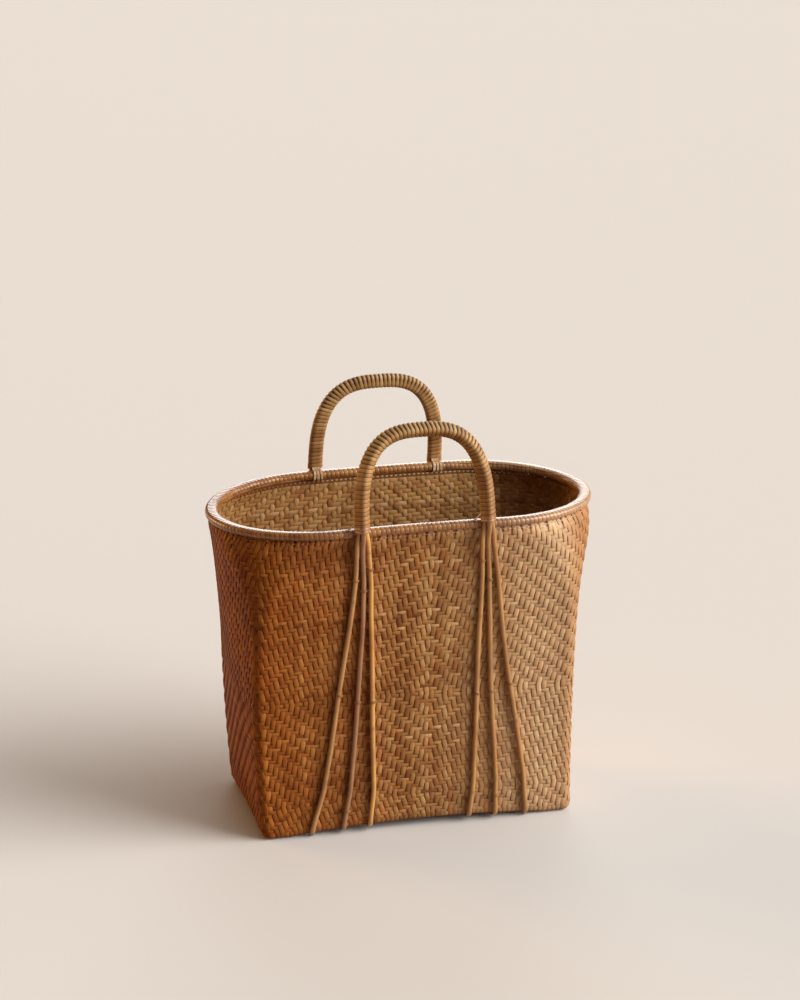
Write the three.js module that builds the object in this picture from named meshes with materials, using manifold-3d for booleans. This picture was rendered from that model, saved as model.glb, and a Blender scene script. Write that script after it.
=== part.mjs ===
// Bamboo shopping basket: a plaited body with an oval mouth, a bound rim and two cane handles.
// Units are millimetres. +Z is up, the mouth's long axis is X, and the front handle is on -Y.
// The origin lies on the floor under the middle of the base.
import * as THREE from 'three';
import { mergeVertices } from 'three/addons/utils/BufferGeometryUtils.js';
import Module from 'manifold-3d';

// Driving dimensions of the basket
const MOUTH_LENGTH = 380; // over the bound rim
const MOUTH_DEPTH = 198; // over the bound rim
const MOUTH_END_RUN = 112; // length of each rounded end of the mouth, over the bound rim
const BASE_LENGTH = 311;
const BASE_DEPTH = 160;
const BASE_CORNER_RADIUS = 9;
const RIM_TOP = 316; // top of the rim at the middle of a long side
const RIM_END_DROP = 4; // how much lower the rim lies at its two ends
const WEAVE_THICKNESS = 2.6;
const BOTTOM_EDGE_RADIUS = 7;
const LENGTH_FLARE = 1.9; // power of the flare along X, 1 would be a straight wall
const DEPTH_FLARE = 1.7; // power of the flare along Y
const CORNER_OPENING = 10; // power that keeps the corners tight until near the mouth
const END_BELLY = 1; // share of the flare by which the ends belly out beyond the corners

// The underside stands on its four corners and is arched between them
const FOOT_LENGTH = 28;
const FOOT_WIDTH = 18;
const LONG_ARCH = 6; // rise of the long bottom edges
const END_ARCH = 3; // rise of the short bottom edges
const LIFT_FADE = 60; // height at which the wall no longer follows the arched edge

// Rim: one hoop outside the wall, one inside, and a close binding over both
const HOOP_THICKNESS = 3.4;
const HOOP_HEIGHT = 6;
const BINDING_THICKNESS = 0.8;
const UPRIGHT_BELOW_RIM = 1; // the wall stands upright inside the rim and this far below it

// Handles: three canes a handle, bound together above the rim
const CANE_DIAMETER = 5.2;
const HANDLE_HALF_SPAN = 61; // leg's centre at the rim, from the middle
const HANDLE_RISE = 92; // along the leaning handle, from the rim's top to the bundle's centre
const HANDLE_SHAPE = 2.9; // superellipse exponent of the arch
const HANDLE_LEAN_DEG = 10.5; // towards the middle of the basket
const WRAP_THICKNESS = 1.2;
const WRAP_TURNS = 24; // the cane strip really makes about 65 turns
const WRAP_TURN_GAP = 0.7;

// Lashings that tie each handle leg to the rim
const LASHING_THICKNESS = 1.2;
const LASHING_WIDTH = 9;
const COLLAR_HEIGHT = 6.5;
const COLLAR_BOTTOM = 2.2; // up the leg from the rim's top

// Small ties that hold the canes on the wall
const TIE_WIDTH = 2.4;
const TIE_THICKNESS = 0.6;

// Clearance between pieces that touch on the real basket
const SEAT = 0.3;
const FLOOR_MARGIN = 0.6; // the turned-in cane ends stay this far above the floor

// How each cane of a leg fans out from the rim down to the bottom edge, and its ties' heights
const CANES = [
  {
    name: 'outer',
    place: 1,
    spread: 42,
    ease: 1.25,
    ties: {
      left: [['upper', RIM_TOP - 51], ['mid', RIM_TOP - 168]],
      right: [['mid', RIM_TOP - 172]],
    },
  },
  {
    name: 'middle',
    place: 0,
    spread: 16,
    ease: 1.8,
    ties: {
      left: [['upper', RIM_TOP - 62], ['mid', RIM_TOP - 177], ['low', 26]],
      right: [['upper', RIM_TOP - 61], ['mid', RIM_TOP - 178], ['low', 27]],
    },
  },
  {
    name: 'inner',
    place: -1,
    spread: -6,
    ease: 0.8,
    ties: {
      left: [['upper', RIM_TOP - 40], ['mid', RIM_TOP - 178]],
      right: [['upper', RIM_TOP - 40], ['mid', RIM_TOP - 179]],
    },
  },
];
const FAN_TOP = RIM_TOP - 18; // the canes lie side by side here, just under the rim
const SWING_BOTTOM = RIM_TOP - 50; // from here up the canes leave the wall to pass outside the rim
const SWING_TOP = RIM_TOP - 11;

// Rings that shape the wall, as shares of the height where it turns upright, and the rings of
// the base, as shares of its half size
const WALL_RINGS = [0.08, 0.17, 0.3, 0.43, 0.55, 0.65, 0.745, 0.83, 0.9, 0.96];
const BASE_RINGS = [0.3, 0.62, 0.875];
const LEAST_CORNER_RADIUS = 1.5;

// Fineness of the faceted surfaces
const LONG_SIDE_STEPS = 4; // half a long side, up to its foot
const END_STEPS = 3; // half an end, up to its foot
const CORNER_STEPS = 6;
const CANE_SIDES = 8;
const CANE_EDGE_STEPS = 3;
const CANE_WALL_STEPS = 8;
const CANE_SWING_STEPS = 5;
const CANE_ARCH_STEPS = 24;
const WRAP_STEPS_PER_TURN = 12;
const TIE_ARC_STEPS = 4;
const COLLAR_SIDES = 16;
const ARCH_LENGTH_SAMPLES = 1600;
const BEND_SAMPLE = 0.002; // share of the handle's length over which its bend is measured

// Sizes that follow
const CANE_RADIUS = CANE_DIAMETER / 2;
const CANE_PITCH = CANE_DIAMETER + SEAT;
const RIM_BUILD_UP = SEAT + HOOP_THICKNESS + SEAT + BINDING_THICKNESS;
const WALL_TOP_LENGTH = MOUTH_LENGTH / 2 - RIM_BUILD_UP;
const WALL_TOP_DEPTH = MOUTH_DEPTH / 2 - RIM_BUILD_UP;
const WALL_TOP_END_RUN = MOUTH_END_RUN - RIM_BUILD_UP;
const HOOP_TOP = RIM_TOP - BINDING_THICKNESS - SEAT;
const HOOP_BOTTOM = HOOP_TOP - HOOP_HEIGHT;
const WALL_TOP = HOOP_TOP;
const BINDING_BOTTOM = HOOP_BOTTOM - SEAT - BINDING_THICKNESS;
const UPRIGHT_FROM = BINDING_BOTTOM - UPRIGHT_BELOW_RIM;
const FOOT_START_X = BASE_LENGTH / 2 - FOOT_LENGTH;
const FOOT_START_Y = BASE_DEPTH / 2 - FOOT_WIDTH;
const LONG_FOOT_SHARE = FOOT_START_X / (BASE_LENGTH / 2 - BASE_CORNER_RADIUS);
const END_FOOT_SHARE = FOOT_START_Y / (BASE_DEPTH / 2 - BASE_CORNER_RADIUS);
const RIM_CANE_OFFSET = MOUTH_DEPTH / 2 + SEAT + CANE_RADIUS;
const TRIANGLE_DEG = 60;
const BUNDLE_OFFSET = RIM_CANE_OFFSET + CANE_PITCH / (2 * Math.sqrt(3));
const BUNDLE_RADIUS = CANE_PITCH / Math.sqrt(3) + CANE_RADIUS;
const WRAP_INNER_RADIUS = (BUNDLE_RADIUS + SEAT) / Math.cos(Math.PI / WRAP_STEPS_PER_TURN);
const LEAN = THREE.MathUtils.degToRad(HANDLE_LEAN_DEG);

const smooth = (x, low, high) => THREE.MathUtils.smoothstep(x, low, high);
const mix = THREE.MathUtils.lerp;

// Half sizes and corner arcs of the body's outer outline at a height above the floor
function bodySection(height) {
  const t = THREE.MathUtils.clamp(height / UPRIGHT_FROM, 0, 1);
  const length = mix(BASE_LENGTH / 2, WALL_TOP_LENGTH, t ** LENGTH_FLARE);
  const depth = mix(BASE_DEPTH / 2, WALL_TOP_DEPTH, t ** DEPTH_FLARE);
  const opening = t ** CORNER_OPENING;
  return {
    length,
    depth,
    arcX: mix(BASE_CORNER_RADIUS, WALL_TOP_END_RUN, opening),
    arcY: mix(BASE_CORNER_RADIUS, depth, opening),
    belly: END_BELLY * (length - BASE_LENGTH / 2) * (1 - opening),
  };
}

function insetSection(section, inset) {
  return {
    length: section.length - inset,
    depth: section.depth - inset,
    arcX: Math.max(section.arcX - inset, LEAST_CORNER_RADIUS),
    arcY: Math.max(section.arcY - inset, LEAST_CORNER_RADIUS),
    belly: section.belly,
  };
}

// One quarter of an outline, from the middle of the long side to the middle of the end.
// Each point carries its outward normal, which is exact where the end has no belly.
function quarterOutline({ length, depth, arcX, arcY, belly }) {
  const points = [];
  const straightX = length - arcX;
  const straightY = depth - arcY;
  for (let i = 0; i <= LONG_SIDE_STEPS; i += 1) {
    const share = (LONG_FOOT_SHARE * i) / LONG_SIDE_STEPS;
    points.push({ x: straightX * share, y: depth, nx: 0, ny: 1 });
  }
  for (let i = 0; i <= CORNER_STEPS; i += 1) {
    const angle = (Math.PI / 2) * (1 - i / CORNER_STEPS);
    const normal = new THREE.Vector2(Math.cos(angle) / arcX, Math.sin(angle) / arcY).normalize();
    points.push({
      x: straightX + arcX * Math.cos(angle),
      y: straightY + arcY * Math.sin(angle),
      nx: normal.x,
      ny: normal.y,
    });
  }
  for (let i = END_STEPS; i >= 0; i -= 1) {
    points.push({ x: length, y: (straightY * END_FOOT_SHARE * i) / END_STEPS, nx: 1, ny: 0 });
  }
  const drawnIn = (y) => 1 - (belly / length) * (y / depth) ** 2;
  return points.map((point) => ({ ...point, x: point.x * drawnIn(point.y) }));
}

// The whole outline, counter-clockwise seen from above, starting at the middle of the back
function fullOutline(section) {
  const quarter = quarterOutline(section);
  const flip = ({ x, y, nx, ny }, signX, signY) => ({
    x: x * signX,
    y: y * signY,
    nx: nx * signX,
    ny: ny * signY,
  });
  const backRight = quarter.slice(0, -1).map((point) => flip(point, 1, 1));
  const frontRight = quarter.slice(1).map((point) => flip(point, 1, -1)).reverse();
  const frontLeft = quarter.slice(0, -1).map((point) => flip(point, -1, -1));
  const backLeft = quarter.slice(1).map((point) => flip(point, -1, 1)).reverse();
  return [...backRight, ...frontRight, ...frontLeft, ...backLeft].reverse();
}

// How far the underside is lifted off the floor: nothing at the four feet
function underLift(x, y) {
  const alongX = Math.max(0, 1 - (x / FOOT_START_X) ** 2);
  const alongY = Math.max(0, 1 - (y / FOOT_START_Y) ** 2);
  return LONG_ARCH * alongX + END_ARCH * alongY;
}

const endDrop = (x) => RIM_END_DROP * (x / (MOUTH_LENGTH / 2)) ** 2;

// Turns a triangle list into a closed body with merged corners and its faces pointing out
function closedBody(geometry) {
  geometry.deleteAttribute('normal');
  geometry.deleteAttribute('uv');
  const merged = mergeVertices(geometry, 1e-4);
  const kept = [];
  for (let i = 0; i < merged.index.count; i += 3) {
    const corners = [0, 1, 2].map((k) => merged.index.getX(i + k));
    if (new Set(corners).size === 3) kept.push(...corners);
  }
  merged.setIndex(kept);
  const { position } = merged.attributes;
  const { index } = merged;
  const a = new THREE.Vector3();
  const b = new THREE.Vector3();
  const c = new THREE.Vector3();
  let volume = 0;
  for (let i = 0; i < index.count; i += 3) {
    a.fromBufferAttribute(position, index.getX(i));
    b.fromBufferAttribute(position, index.getX(i + 1));
    c.fromBufferAttribute(position, index.getX(i + 2));
    volume += a.dot(b.cross(c));
  }
  if (volume < 0) {
    for (let i = 0; i < index.count; i += 3) {
      const second = index.getX(i + 1);
      index.setX(i + 1, index.getX(i + 2));
      index.setX(i + 2, second);
    }
  }
  merged.computeVertexNormals();
  return merged;
}

function geometryFrom(points, triangles) {
  const geometry = new THREE.BufferGeometry();
  const values = points.flatMap((point) => [point.x, point.y, point.z]);
  geometry.setAttribute('position', new THREE.Float32BufferAttribute(values, 3));
  geometry.setIndex(triangles);
  return closedBody(geometry);
}

// Skins rings of equal length, each joined to the next. A closed skin joins the last ring to
// the first; an open one is shut by a fan at each end.
function skinRings(rings, closed) {
  const size = rings[0].length;
  const points = rings.flat();
  const triangles = [];
  const spans = closed ? rings.length : rings.length - 1;
  for (let ring = 0; ring < spans; ring += 1) {
    const low = ring * size;
    const high = ((ring + 1) % rings.length) * size;
    for (let i = 0; i < size; i += 1) {
      const next = (i + 1) % size;
      triangles.push(low + i, low + next, high + next, low + i, high + next, high + i);
    }
  }
  if (!closed) {
    for (const [ring, turn] of [[0, -1], [rings.length - 1, 1]]) {
      const centre = new THREE.Vector3();
      rings[ring].forEach((point) => centre.add(point));
      points.push(centre.divideScalar(size));
      for (let i = 0; i < size; i += 1) {
        const next = (i + 1) % size;
        const [first, second] = turn > 0 ? [i, next] : [next, i];
        triangles.push(points.length - 1, ring * size + first, ring * size + second);
      }
    }
  }
  return geometryFrom(points, triangles);
}

// Woven body: underside, bottom edge, wall, top edge, inner wall and floor in one skin
function wovenBody() {
  const rings = [];
  const base = bodySection(0);
  const flat = (inset, thickness) => fullOutline(insetSection(base, inset))
    .map(({ x, y }) => new THREE.Vector3(x, y, underLift(x, y) + thickness));
  const shrunk = (share, thickness) => fullOutline(insetSection(base, BOTTOM_EDGE_RADIUS))
    .map((point) => new THREE.Vector2(point.x, point.y).multiplyScalar(share))
    .map(({ x, y }) => new THREE.Vector3(x, y, underLift(x, y) + thickness));
  const wall = (height, inset) => fullOutline(insetSection(bodySection(height), inset)).map(({ x, y }) => {
    const share = height / WALL_TOP;
    const lift = underLift(x, y) * Math.max(0, 1 - height / LIFT_FADE);
    return new THREE.Vector3(x, y, height + lift - endDrop(x) * share ** 2);
  });
  const between = WALL_RINGS.map((share) => share * UPRIGHT_FROM);
  const heights = [BOTTOM_EDGE_RADIUS, ...between, UPRIGHT_FROM, WALL_TOP];
  const innerRadius = BOTTOM_EDGE_RADIUS - WEAVE_THICKNESS;
  const edgeInset = BOTTOM_EDGE_RADIUS * (1 - Math.SQRT1_2);
  const innerEdgeInset = innerRadius * (1 - Math.SQRT1_2);
  BASE_RINGS.forEach((share) => rings.push(shrunk(share, 0)));
  rings.push(flat(BOTTOM_EDGE_RADIUS, 0));
  rings.push(flat(edgeInset, edgeInset));
  heights.forEach((height) => rings.push(wall(height, 0)));
  [...heights].reverse().forEach((height) => rings.push(wall(height, WEAVE_THICKNESS)));
  rings.push(flat(WEAVE_THICKNESS + innerEdgeInset, WEAVE_THICKNESS + innerEdgeInset));
  rings.push(flat(BOTTOM_EDGE_RADIUS, WEAVE_THICKNESS));
  [...BASE_RINGS].reverse().forEach((share) => rings.push(shrunk(share, WEAVE_THICKNESS)));
  return skinRings(rings, false);
}

// A band that follows the rim. Its section is a list of [distance out from the wall, height].
function rimBand(section) {
  const outline = fullOutline({
    length: WALL_TOP_LENGTH,
    depth: WALL_TOP_DEPTH,
    arcX: WALL_TOP_END_RUN,
    arcY: WALL_TOP_DEPTH,
    belly: 0,
  });
  const rings = outline.map(({ x, y, nx, ny }) => section.map(([out, height]) => (
    new THREE.Vector3(x + nx * out, y + ny * out, height - endDrop(x))
  )));
  return skinRings(rings, true);
}

function rimHoop(from, to) {
  return rimBand([[from, HOOP_BOTTOM], [to, HOOP_BOTTOM], [to, HOOP_TOP], [from, HOOP_TOP]]);
}

const outerHoop = () => rimHoop(SEAT, SEAT + HOOP_THICKNESS);
const innerHoop = () => rimHoop(-WEAVE_THICKNESS - SEAT - HOOP_THICKNESS, -WEAVE_THICKNESS - SEAT);

// The binding goes over both hoops and turns in under them as far as the wall
function rimBinding() {
  const outside = RIM_BUILD_UP;
  const inside = -WEAVE_THICKNESS - RIM_BUILD_UP;
  const t = BINDING_THICKNESS;
  const low = BINDING_BOTTOM;
  return rimBand([
    [SEAT, low + t],
    [SEAT, low],
    [outside - t, low],
    [outside, low + t],
    [outside, RIM_TOP - t],
    [outside - t, RIM_TOP],
    [inside + t, RIM_TOP],
    [inside, RIM_TOP - t],
    [inside, low + t],
    [inside + t, low],
    [-WEAVE_THICKNESS - SEAT, low],
    [-WEAVE_THICKNESS - SEAT, low + t],
    [inside + t, low + t],
    [inside + t, RIM_TOP - t],
    [outside - t, RIM_TOP - t],
    [outside - t, low + t],
  ]);
}

// The handle's centre line in its own leaning plane: a superellipse from the left foot to the
// right foot, x along the rim and y up the plane from the rim's top
class HandleArch extends THREE.Curve {
  constructor() {
    super();
    this.arcLengthDivisions = ARCH_LENGTH_SAMPLES;
  }

  getPoint(t, target = new THREE.Vector3()) {
    const angle = Math.PI * (1 - t);
    const power = 2 / HANDLE_SHAPE;
    const across = Math.abs(Math.cos(angle)) ** power;
    const up = Math.abs(Math.sin(angle)) ** power;
    return target.set(Math.sign(Math.cos(angle)) * HANDLE_HALF_SPAN * across, HANDLE_RISE * up, 0);
  }

  // Place, direction along the arch and direction away from its middle, on the basket
  frameAt(u) {
    const flat = this.getPointAt(u);
    const tangent = this.getTangentAt(u);
    const lift = (x, y) => new THREE.Vector3(x, y * Math.sin(LEAN), y * Math.cos(LEAN));
    return {
      point: lift(flat.x, flat.y).add(new THREE.Vector3(0, -BUNDLE_OFFSET, RIM_TOP)),
      along: lift(tangent.x, tangent.y),
      out: lift(-tangent.y, tangent.x),
      front: new THREE.Vector3(0, -Math.cos(LEAN), Math.sin(LEAN)),
    };
  }
}
const handleArch = new HandleArch();

// Where a cane lies in the bound bundle: two side by side at the back and one before them
function bundlePoint(cane, frame) {
  const side = (cane.place * CANE_PITCH) / 2;
  const toFront = CANE_PITCH / Math.sqrt(3);
  const front = cane.place === 0 ? toFront : -toFront / 2;
  return frame.point.clone().addScaledVector(frame.out, side).addScaledVector(frame.front, front);
}

// Distance of a cane on the wall from the basket's middle plane
function caneDepth(height) {
  const onWall = bodySection(height).depth + SEAT + CANE_RADIUS;
  return mix(onWall, RIM_CANE_OFFSET, smooth(height, SWING_BOTTOM, SWING_TOP));
}

// Centre of a cane of the right front leg, between the bottom edge and the rim's top
function canePoint(cane, height) {
  const gather = THREE.MathUtils.degToRad(TRIANGLE_DEG) * smooth(height, FAN_TOP, RIM_TOP);
  const fall = Math.max(0, (FAN_TOP - height) / FAN_TOP);
  const beside = cane.place * CANE_PITCH * Math.cos(gather);
  const fan = cane.spread * fall ** cane.ease;
  const forward = cane.place === 0 ? CANE_PITCH * Math.sin(gather) : 0;
  return new THREE.Vector3(HANDLE_HALF_SPAN + beside + fan, -caneDepth(height) - forward, height);
}

// The cane's lower end, turned in round the bottom edge as far as the floor allows
function caneEdge(cane) {
  const reach = BOTTOM_EDGE_RADIUS + SEAT + CANE_RADIUS;
  const lift = underLift(canePoint(cane, BOTTOM_EDGE_RADIUS).x, BASE_DEPTH / 2);
  const centre = lift + BOTTOM_EDGE_RADIUS;
  const lastAngle = Math.asin(Math.min(1, (centre - FLOOR_MARGIN) / (reach + CANE_RADIUS)));
  const points = [];
  for (let i = 0; i <= CANE_EDGE_STEPS; i += 1) {
    const angle = lastAngle * (1 - i / CANE_EDGE_STEPS);
    const { x } = canePoint(cane, centre);
    const y = -(BASE_DEPTH / 2 - BOTTOM_EDGE_RADIUS + reach * Math.cos(angle));
    points.push(new THREE.Vector3(x, y, centre - reach * Math.sin(angle)));
  }
  return points;
}

// One cane from end to end: up the right leg, over the arch and down the left leg
function caneRoute(cane) {
  const leg = caneEdge(cane);
  const low = leg[leg.length - 1].z;
  for (let i = 1; i <= CANE_WALL_STEPS; i += 1) {
    leg.push(canePoint(cane, mix(low, SWING_BOTTOM, i / CANE_WALL_STEPS)));
  }
  for (let i = 1; i <= CANE_SWING_STEPS; i += 1) {
    leg.push(canePoint(cane, mix(SWING_BOTTOM, RIM_TOP, i / CANE_SWING_STEPS)));
  }
  const arch = [];
  for (let i = 1; i < CANE_ARCH_STEPS; i += 1) {
    arch.push(bundlePoint(cane, handleArch.frameAt(1 - i / CANE_ARCH_STEPS)));
  }
  const mirrored = leg.map((point) => new THREE.Vector3(-point.x, point.y, point.z)).reverse();
  return [...leg, ...arch, ...mirrored];
}

function circleShape(radius, sides) {
  const points = [];
  for (let i = 0; i < sides; i += 1) {
    const angle = (2 * Math.PI * i) / sides;
    points.push(new THREE.Vector2(radius * Math.cos(angle), radius * Math.sin(angle)));
  }
  return new THREE.Shape(points);
}

// A round cane swept along its route, with one section at every station of the route
function caneBody(cane) {
  const stations = caneRoute(cane);
  const path = new THREE.CatmullRomCurve3(stations);
  path.getUtoTmapping = (u) => u;
  const section = circleShape(CANE_RADIUS, CANE_SIDES);
  const steps = stations.length - 1;
  const sweep = { steps, extrudePath: path, bevelEnabled: false };
  return closedBody(new THREE.ExtrudeGeometry(section, sweep));
}

// Flat strip wound round the bundle from one lashing to the other in one unbroken piece
function handleWrap() {
  const length = handleArch.getLength();
  const margin = COLLAR_BOTTOM + COLLAR_HEIGHT + SEAT;
  const steps = WRAP_TURNS * WRAP_STEPS_PER_TURN;
  const inner = WRAP_INNER_RADIUS;
  const outer = inner + WRAP_THICKNESS;
  const pitch = (length - 2 * margin) / (WRAP_TURNS + 1);
  const first = (margin + pitch / 2) / length;
  const rings = [];
  for (let i = 0; i <= steps; i += 1) {
    const u = mix(first, 1 - first, i / steps);
    const { point, along, out, front } = handleArch.frameAt(u);
    const ahead = handleArch.frameAt(u + BEND_SAMPLE).along;
    const bend = ahead.angleTo(along) / (BEND_SAMPLE * length);
    const turn = (2 * Math.PI * i) / WRAP_STEPS_PER_TURN;
    const toOutside = Math.cos(turn);
    const radial = out.clone().multiplyScalar(toOutside).addScaledVector(front, Math.sin(turn));
    const room = pitch * (1 + bend * toOutside * (toOutside < 0 ? outer : inner));
    const half = (room - WRAP_TURN_GAP) / 2;
    const corner = (radius, shift) => (
      point.clone().addScaledVector(radial, radius).addScaledVector(along, shift)
    );
    rings.push([
      corner(inner, -half),
      corner(outer, -half),
      corner(outer, half),
      corner(inner, half),
    ]);
  }
  // Both ends run on straight for one strip thickness
  for (const [end, before] of [[0, 1], [steps, steps - 1]]) {
    const step = rings[end][0].clone().sub(rings[before][0]).setLength(WRAP_THICKNESS);
    rings[end === 0 ? 'unshift' : 'push'](rings[end].map((point) => point.clone().add(step)));
  }
  console.log(`handle wrap: ${WRAP_TURNS} turns, least gap between turns ${leastGap(rings).toFixed(2)} mm`);
  return skinRings(rings, false);
}

// Least distance between section corners that lie at least half a turn apart
function leastGap(rings) {
  const apart = WRAP_STEPS_PER_TURN / 2;
  let least = Infinity;
  for (let i = 0; i < rings.length; i += 1) {
    for (let j = i + apart; j < rings.length; j += 1) {
      for (const a of rings[i]) {
        for (const b of rings[j]) least = Math.min(least, a.distanceTo(b));
      }
    }
  }
  return least;
}

// Closed outline of a strip of even thickness along a bent line
function stripOutline(line, thickness) {
  const offset = (sign) => line.map((point, i) => {
    const before = line[Math.max(0, i - 1)];
    const after = line[Math.min(line.length - 1, i + 1)];
    const first = point.clone().sub(before).normalize();
    const second = after.clone().sub(point).normalize();
    const a = i === 0 ? second : first;
    const b = i === line.length - 1 ? first : second;
    const bisector = a.clone().add(b).normalize();
    const normal = new THREE.Vector2(-bisector.y, bisector.x);
    const stretch = 1 / Math.abs(normal.dot(new THREE.Vector2(-a.y, a.x)));
    return point.clone().addScaledVector(normal, (sign * thickness * stretch) / 2);
  });
  return new THREE.Shape([...offset(1), ...offset(-1).reverse()]);
}

// Lashing of the right front leg: a collar of cane round the leg's foot, and a strap from it
// over the rim and under the inner hoop to the wall
function legLashing(toSolid, toGeometry) {
  const t = LASHING_THICKNESS;
  const ring = circleShape(WRAP_INNER_RADIUS + t, COLLAR_SIDES);
  ring.holes.push(new THREE.Path(circleShape(WRAP_INNER_RADIUS, COLLAR_SIDES).getPoints()));
  const collar = new THREE.ExtrudeGeometry(ring, { depth: COLLAR_HEIGHT, bevelEnabled: false });
  const foot = handleArch.frameAt(1);
  collar.translate(0, 0, COLLAR_BOTTOM);
  collar.rotateX(-LEAN);
  collar.translate(foot.point.x, foot.point.y, foot.point.z);

  const nearDrop = endDrop(HANDLE_HALF_SPAN - LASHING_WIDTH / 2);
  const farDrop = endDrop(HANDLE_HALF_SPAN + LASHING_WIDTH / 2);
  const rise = COLLAR_BOTTOM + COLLAR_HEIGHT / 2;
  const back = WRAP_INNER_RADIUS + t / 2;
  const atCollar = BUNDLE_OFFSET - rise * Math.sin(LEAN) - back * Math.cos(LEAN);
  const overTop = RIM_TOP - nearDrop + SEAT + t / 2;
  const insideRim = WALL_TOP_DEPTH - WEAVE_THICKNESS - RIM_BUILD_UP - SEAT - t / 2;
  const underRim = BINDING_BOTTOM - farDrop - SEAT - t / 2;
  const wallFace = bodySection(underRim).depth - WEAVE_THICKNESS - SEAT;
  const line = [
    [-atCollar, RIM_TOP + rise * Math.cos(LEAN) - back * Math.sin(LEAN)],
    [-atCollar, overTop],
    [-insideRim, overTop],
    [-insideRim, underRim],
    [-wallFace, underRim],
  ].map(([y, z]) => new THREE.Vector2(y, z));
  const sweep = { depth: LASHING_WIDTH, bevelEnabled: false };
  const strap = new THREE.ExtrudeGeometry(stripOutline(line, t), sweep);
  strap.applyMatrix4(new THREE.Matrix4().makeBasis(
    new THREE.Vector3(0, 1, 0),
    new THREE.Vector3(0, 0, 1),
    new THREE.Vector3(1, 0, 0),
  ));
  strap.translate(HANDLE_HALF_SPAN - LASHING_WIDTH / 2, 0, 0);
  return toGeometry(toSolid(closedBody(collar)).add(toSolid(closedBody(strap))));
}

// Tie over a cane of the right front leg: a small bridge whose two ends go to the wall
function caneTie(cane, height) {
  const inner = CANE_RADIUS + SEAT;
  const feet = bodySection(height).depth + SEAT - caneDepth(height);
  const points = [];
  const arc = (radius, from, to) => {
    for (let i = 0; i <= TIE_ARC_STEPS; i += 1) {
      const angle = mix(from, to, i / TIE_ARC_STEPS);
      points.push(new THREE.Vector2(radius * Math.cos(angle), radius * Math.sin(angle)));
    }
  };
  points.push(new THREE.Vector2(inner + TIE_THICKNESS, feet));
  arc(inner + TIE_THICKNESS, 0, Math.PI);
  points.push(new THREE.Vector2(-inner - TIE_THICKNESS, feet));
  points.push(new THREE.Vector2(-inner, feet));
  arc(inner, Math.PI, 0);
  points.push(new THREE.Vector2(inner, feet));
  const sweep = { depth: TIE_WIDTH, bevelEnabled: false };
  const bridge = new THREE.ExtrudeGeometry(new THREE.Shape(points), sweep);
  bridge.translate(0, 0, -TIE_WIDTH / 2);
  const centre = canePoint(cane, height);
  const along = canePoint(cane, height + 1).sub(canePoint(cane, height - 1)).normalize();
  const side = new THREE.Vector3(0, -1, 0).cross(along).normalize();
  const away = along.clone().cross(side);
  bridge.applyMatrix4(new THREE.Matrix4().makeBasis(side, away, along).setPosition(centre));
  return closedBody(bridge);
}

// Colours of the aged bamboo and cane
const finish = (color, roughness) => ({ color: new THREE.Color(color), roughness, metalness: 0 });
const FINISHES = {
  weave: finish('#a87544', 0.6),
  hoop: finish('#8a5c34', 0.55),
  binding: finish('#9b7048', 0.4),
  cane: finish('#b98a4c', 0.42),
  wrap: finish('#b08a5c', 0.42),
  lashing: finish('#b59266', 0.45),
  tie: finish('#8f6238', 0.55),
};

function piece(name, geometry, look) {
  const mesh = new THREE.Mesh(geometry, new THREE.MeshStandardMaterial(FINISHES[look]));
  mesh.name = name;
  return mesh;
}

const wasm = await Module();
wasm.setup();

function toSolid(geometry) {
  return new wasm.Manifold(new wasm.Mesh({
    numProp: 3,
    vertProperties: new Float32Array(geometry.attributes.position.array),
    triVerts: new Uint32Array(geometry.index.array),
  }));
}

function toGeometry(solid) {
  const mesh = solid.getMesh();
  const geometry = new THREE.BufferGeometry();
  const values = new Float32Array(mesh.vertProperties);
  geometry.setAttribute('position', new THREE.BufferAttribute(values, 3));
  geometry.setIndex(new THREE.BufferAttribute(new Uint32Array(mesh.triVerts), 1));
  return closedBody(geometry);
}

// Mirrors a piece of the right leg to the left leg
function mirrorX(geometry) {
  return closedBody(geometry.clone().applyMatrix4(new THREE.Matrix4().makeScale(-1, 1, 1)));
}

// One handle with its canes, wrap, lashings and ties, as it stands on the front. The back one
// is the same turned half round, so its right leg stands on the basket's left.
function handleGroup(place) {
  const group = new THREE.Group();
  const onBack = place === 'back';
  for (const cane of CANES) {
    group.add(piece(`${place}_handle_${cane.name}_cane`, caneBody(cane), 'cane'));
  }
  group.add(piece(`${place}_handle_wrap`, handleWrap(), 'wrap'));
  const lashing = legLashing(toSolid, toGeometry);
  for (const leg of ['left', 'right']) {
    const seen = onBack ? { left: 'right', right: 'left' }[leg] : leg;
    const shape = (geometry) => (leg === 'left' ? mirrorX(geometry) : geometry);
    group.add(piece(`${place}_${seen}_leg_lashing`, shape(lashing), 'lashing'));
    for (const cane of CANES) {
      cane.ties[leg].forEach(([level, height]) => {
        const name = `${place}_${seen}_${cane.name}_cane_${level}_tie`;
        group.add(piece(name, shape(caneTie(cane, height)), 'tie'));
      });
    }
  }
  if (onBack) group.rotation.z = Math.PI;
  return group;
}

const basket = new THREE.Group();
basket.add(piece('woven_body', wovenBody(), 'weave'));
basket.add(piece('rim_outer_hoop', outerHoop(), 'hoop'));
basket.add(piece('rim_inner_hoop', innerHoop(), 'hoop'));
basket.add(piece('rim_binding', rimBinding(), 'binding'));
basket.add(handleGroup('front'));
basket.add(handleGroup('back'));

export default basket;
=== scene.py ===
"""Bamboo shopping basket: the looks of its plaited body, bound rim and cane handles."""

import logging
import math
from collections.abc import Callable
from dataclasses import dataclass
from enum import Enum
from typing import Any

import bmesh
import bpy
import numpy as np
from mathutils import Matrix, Vector


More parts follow.
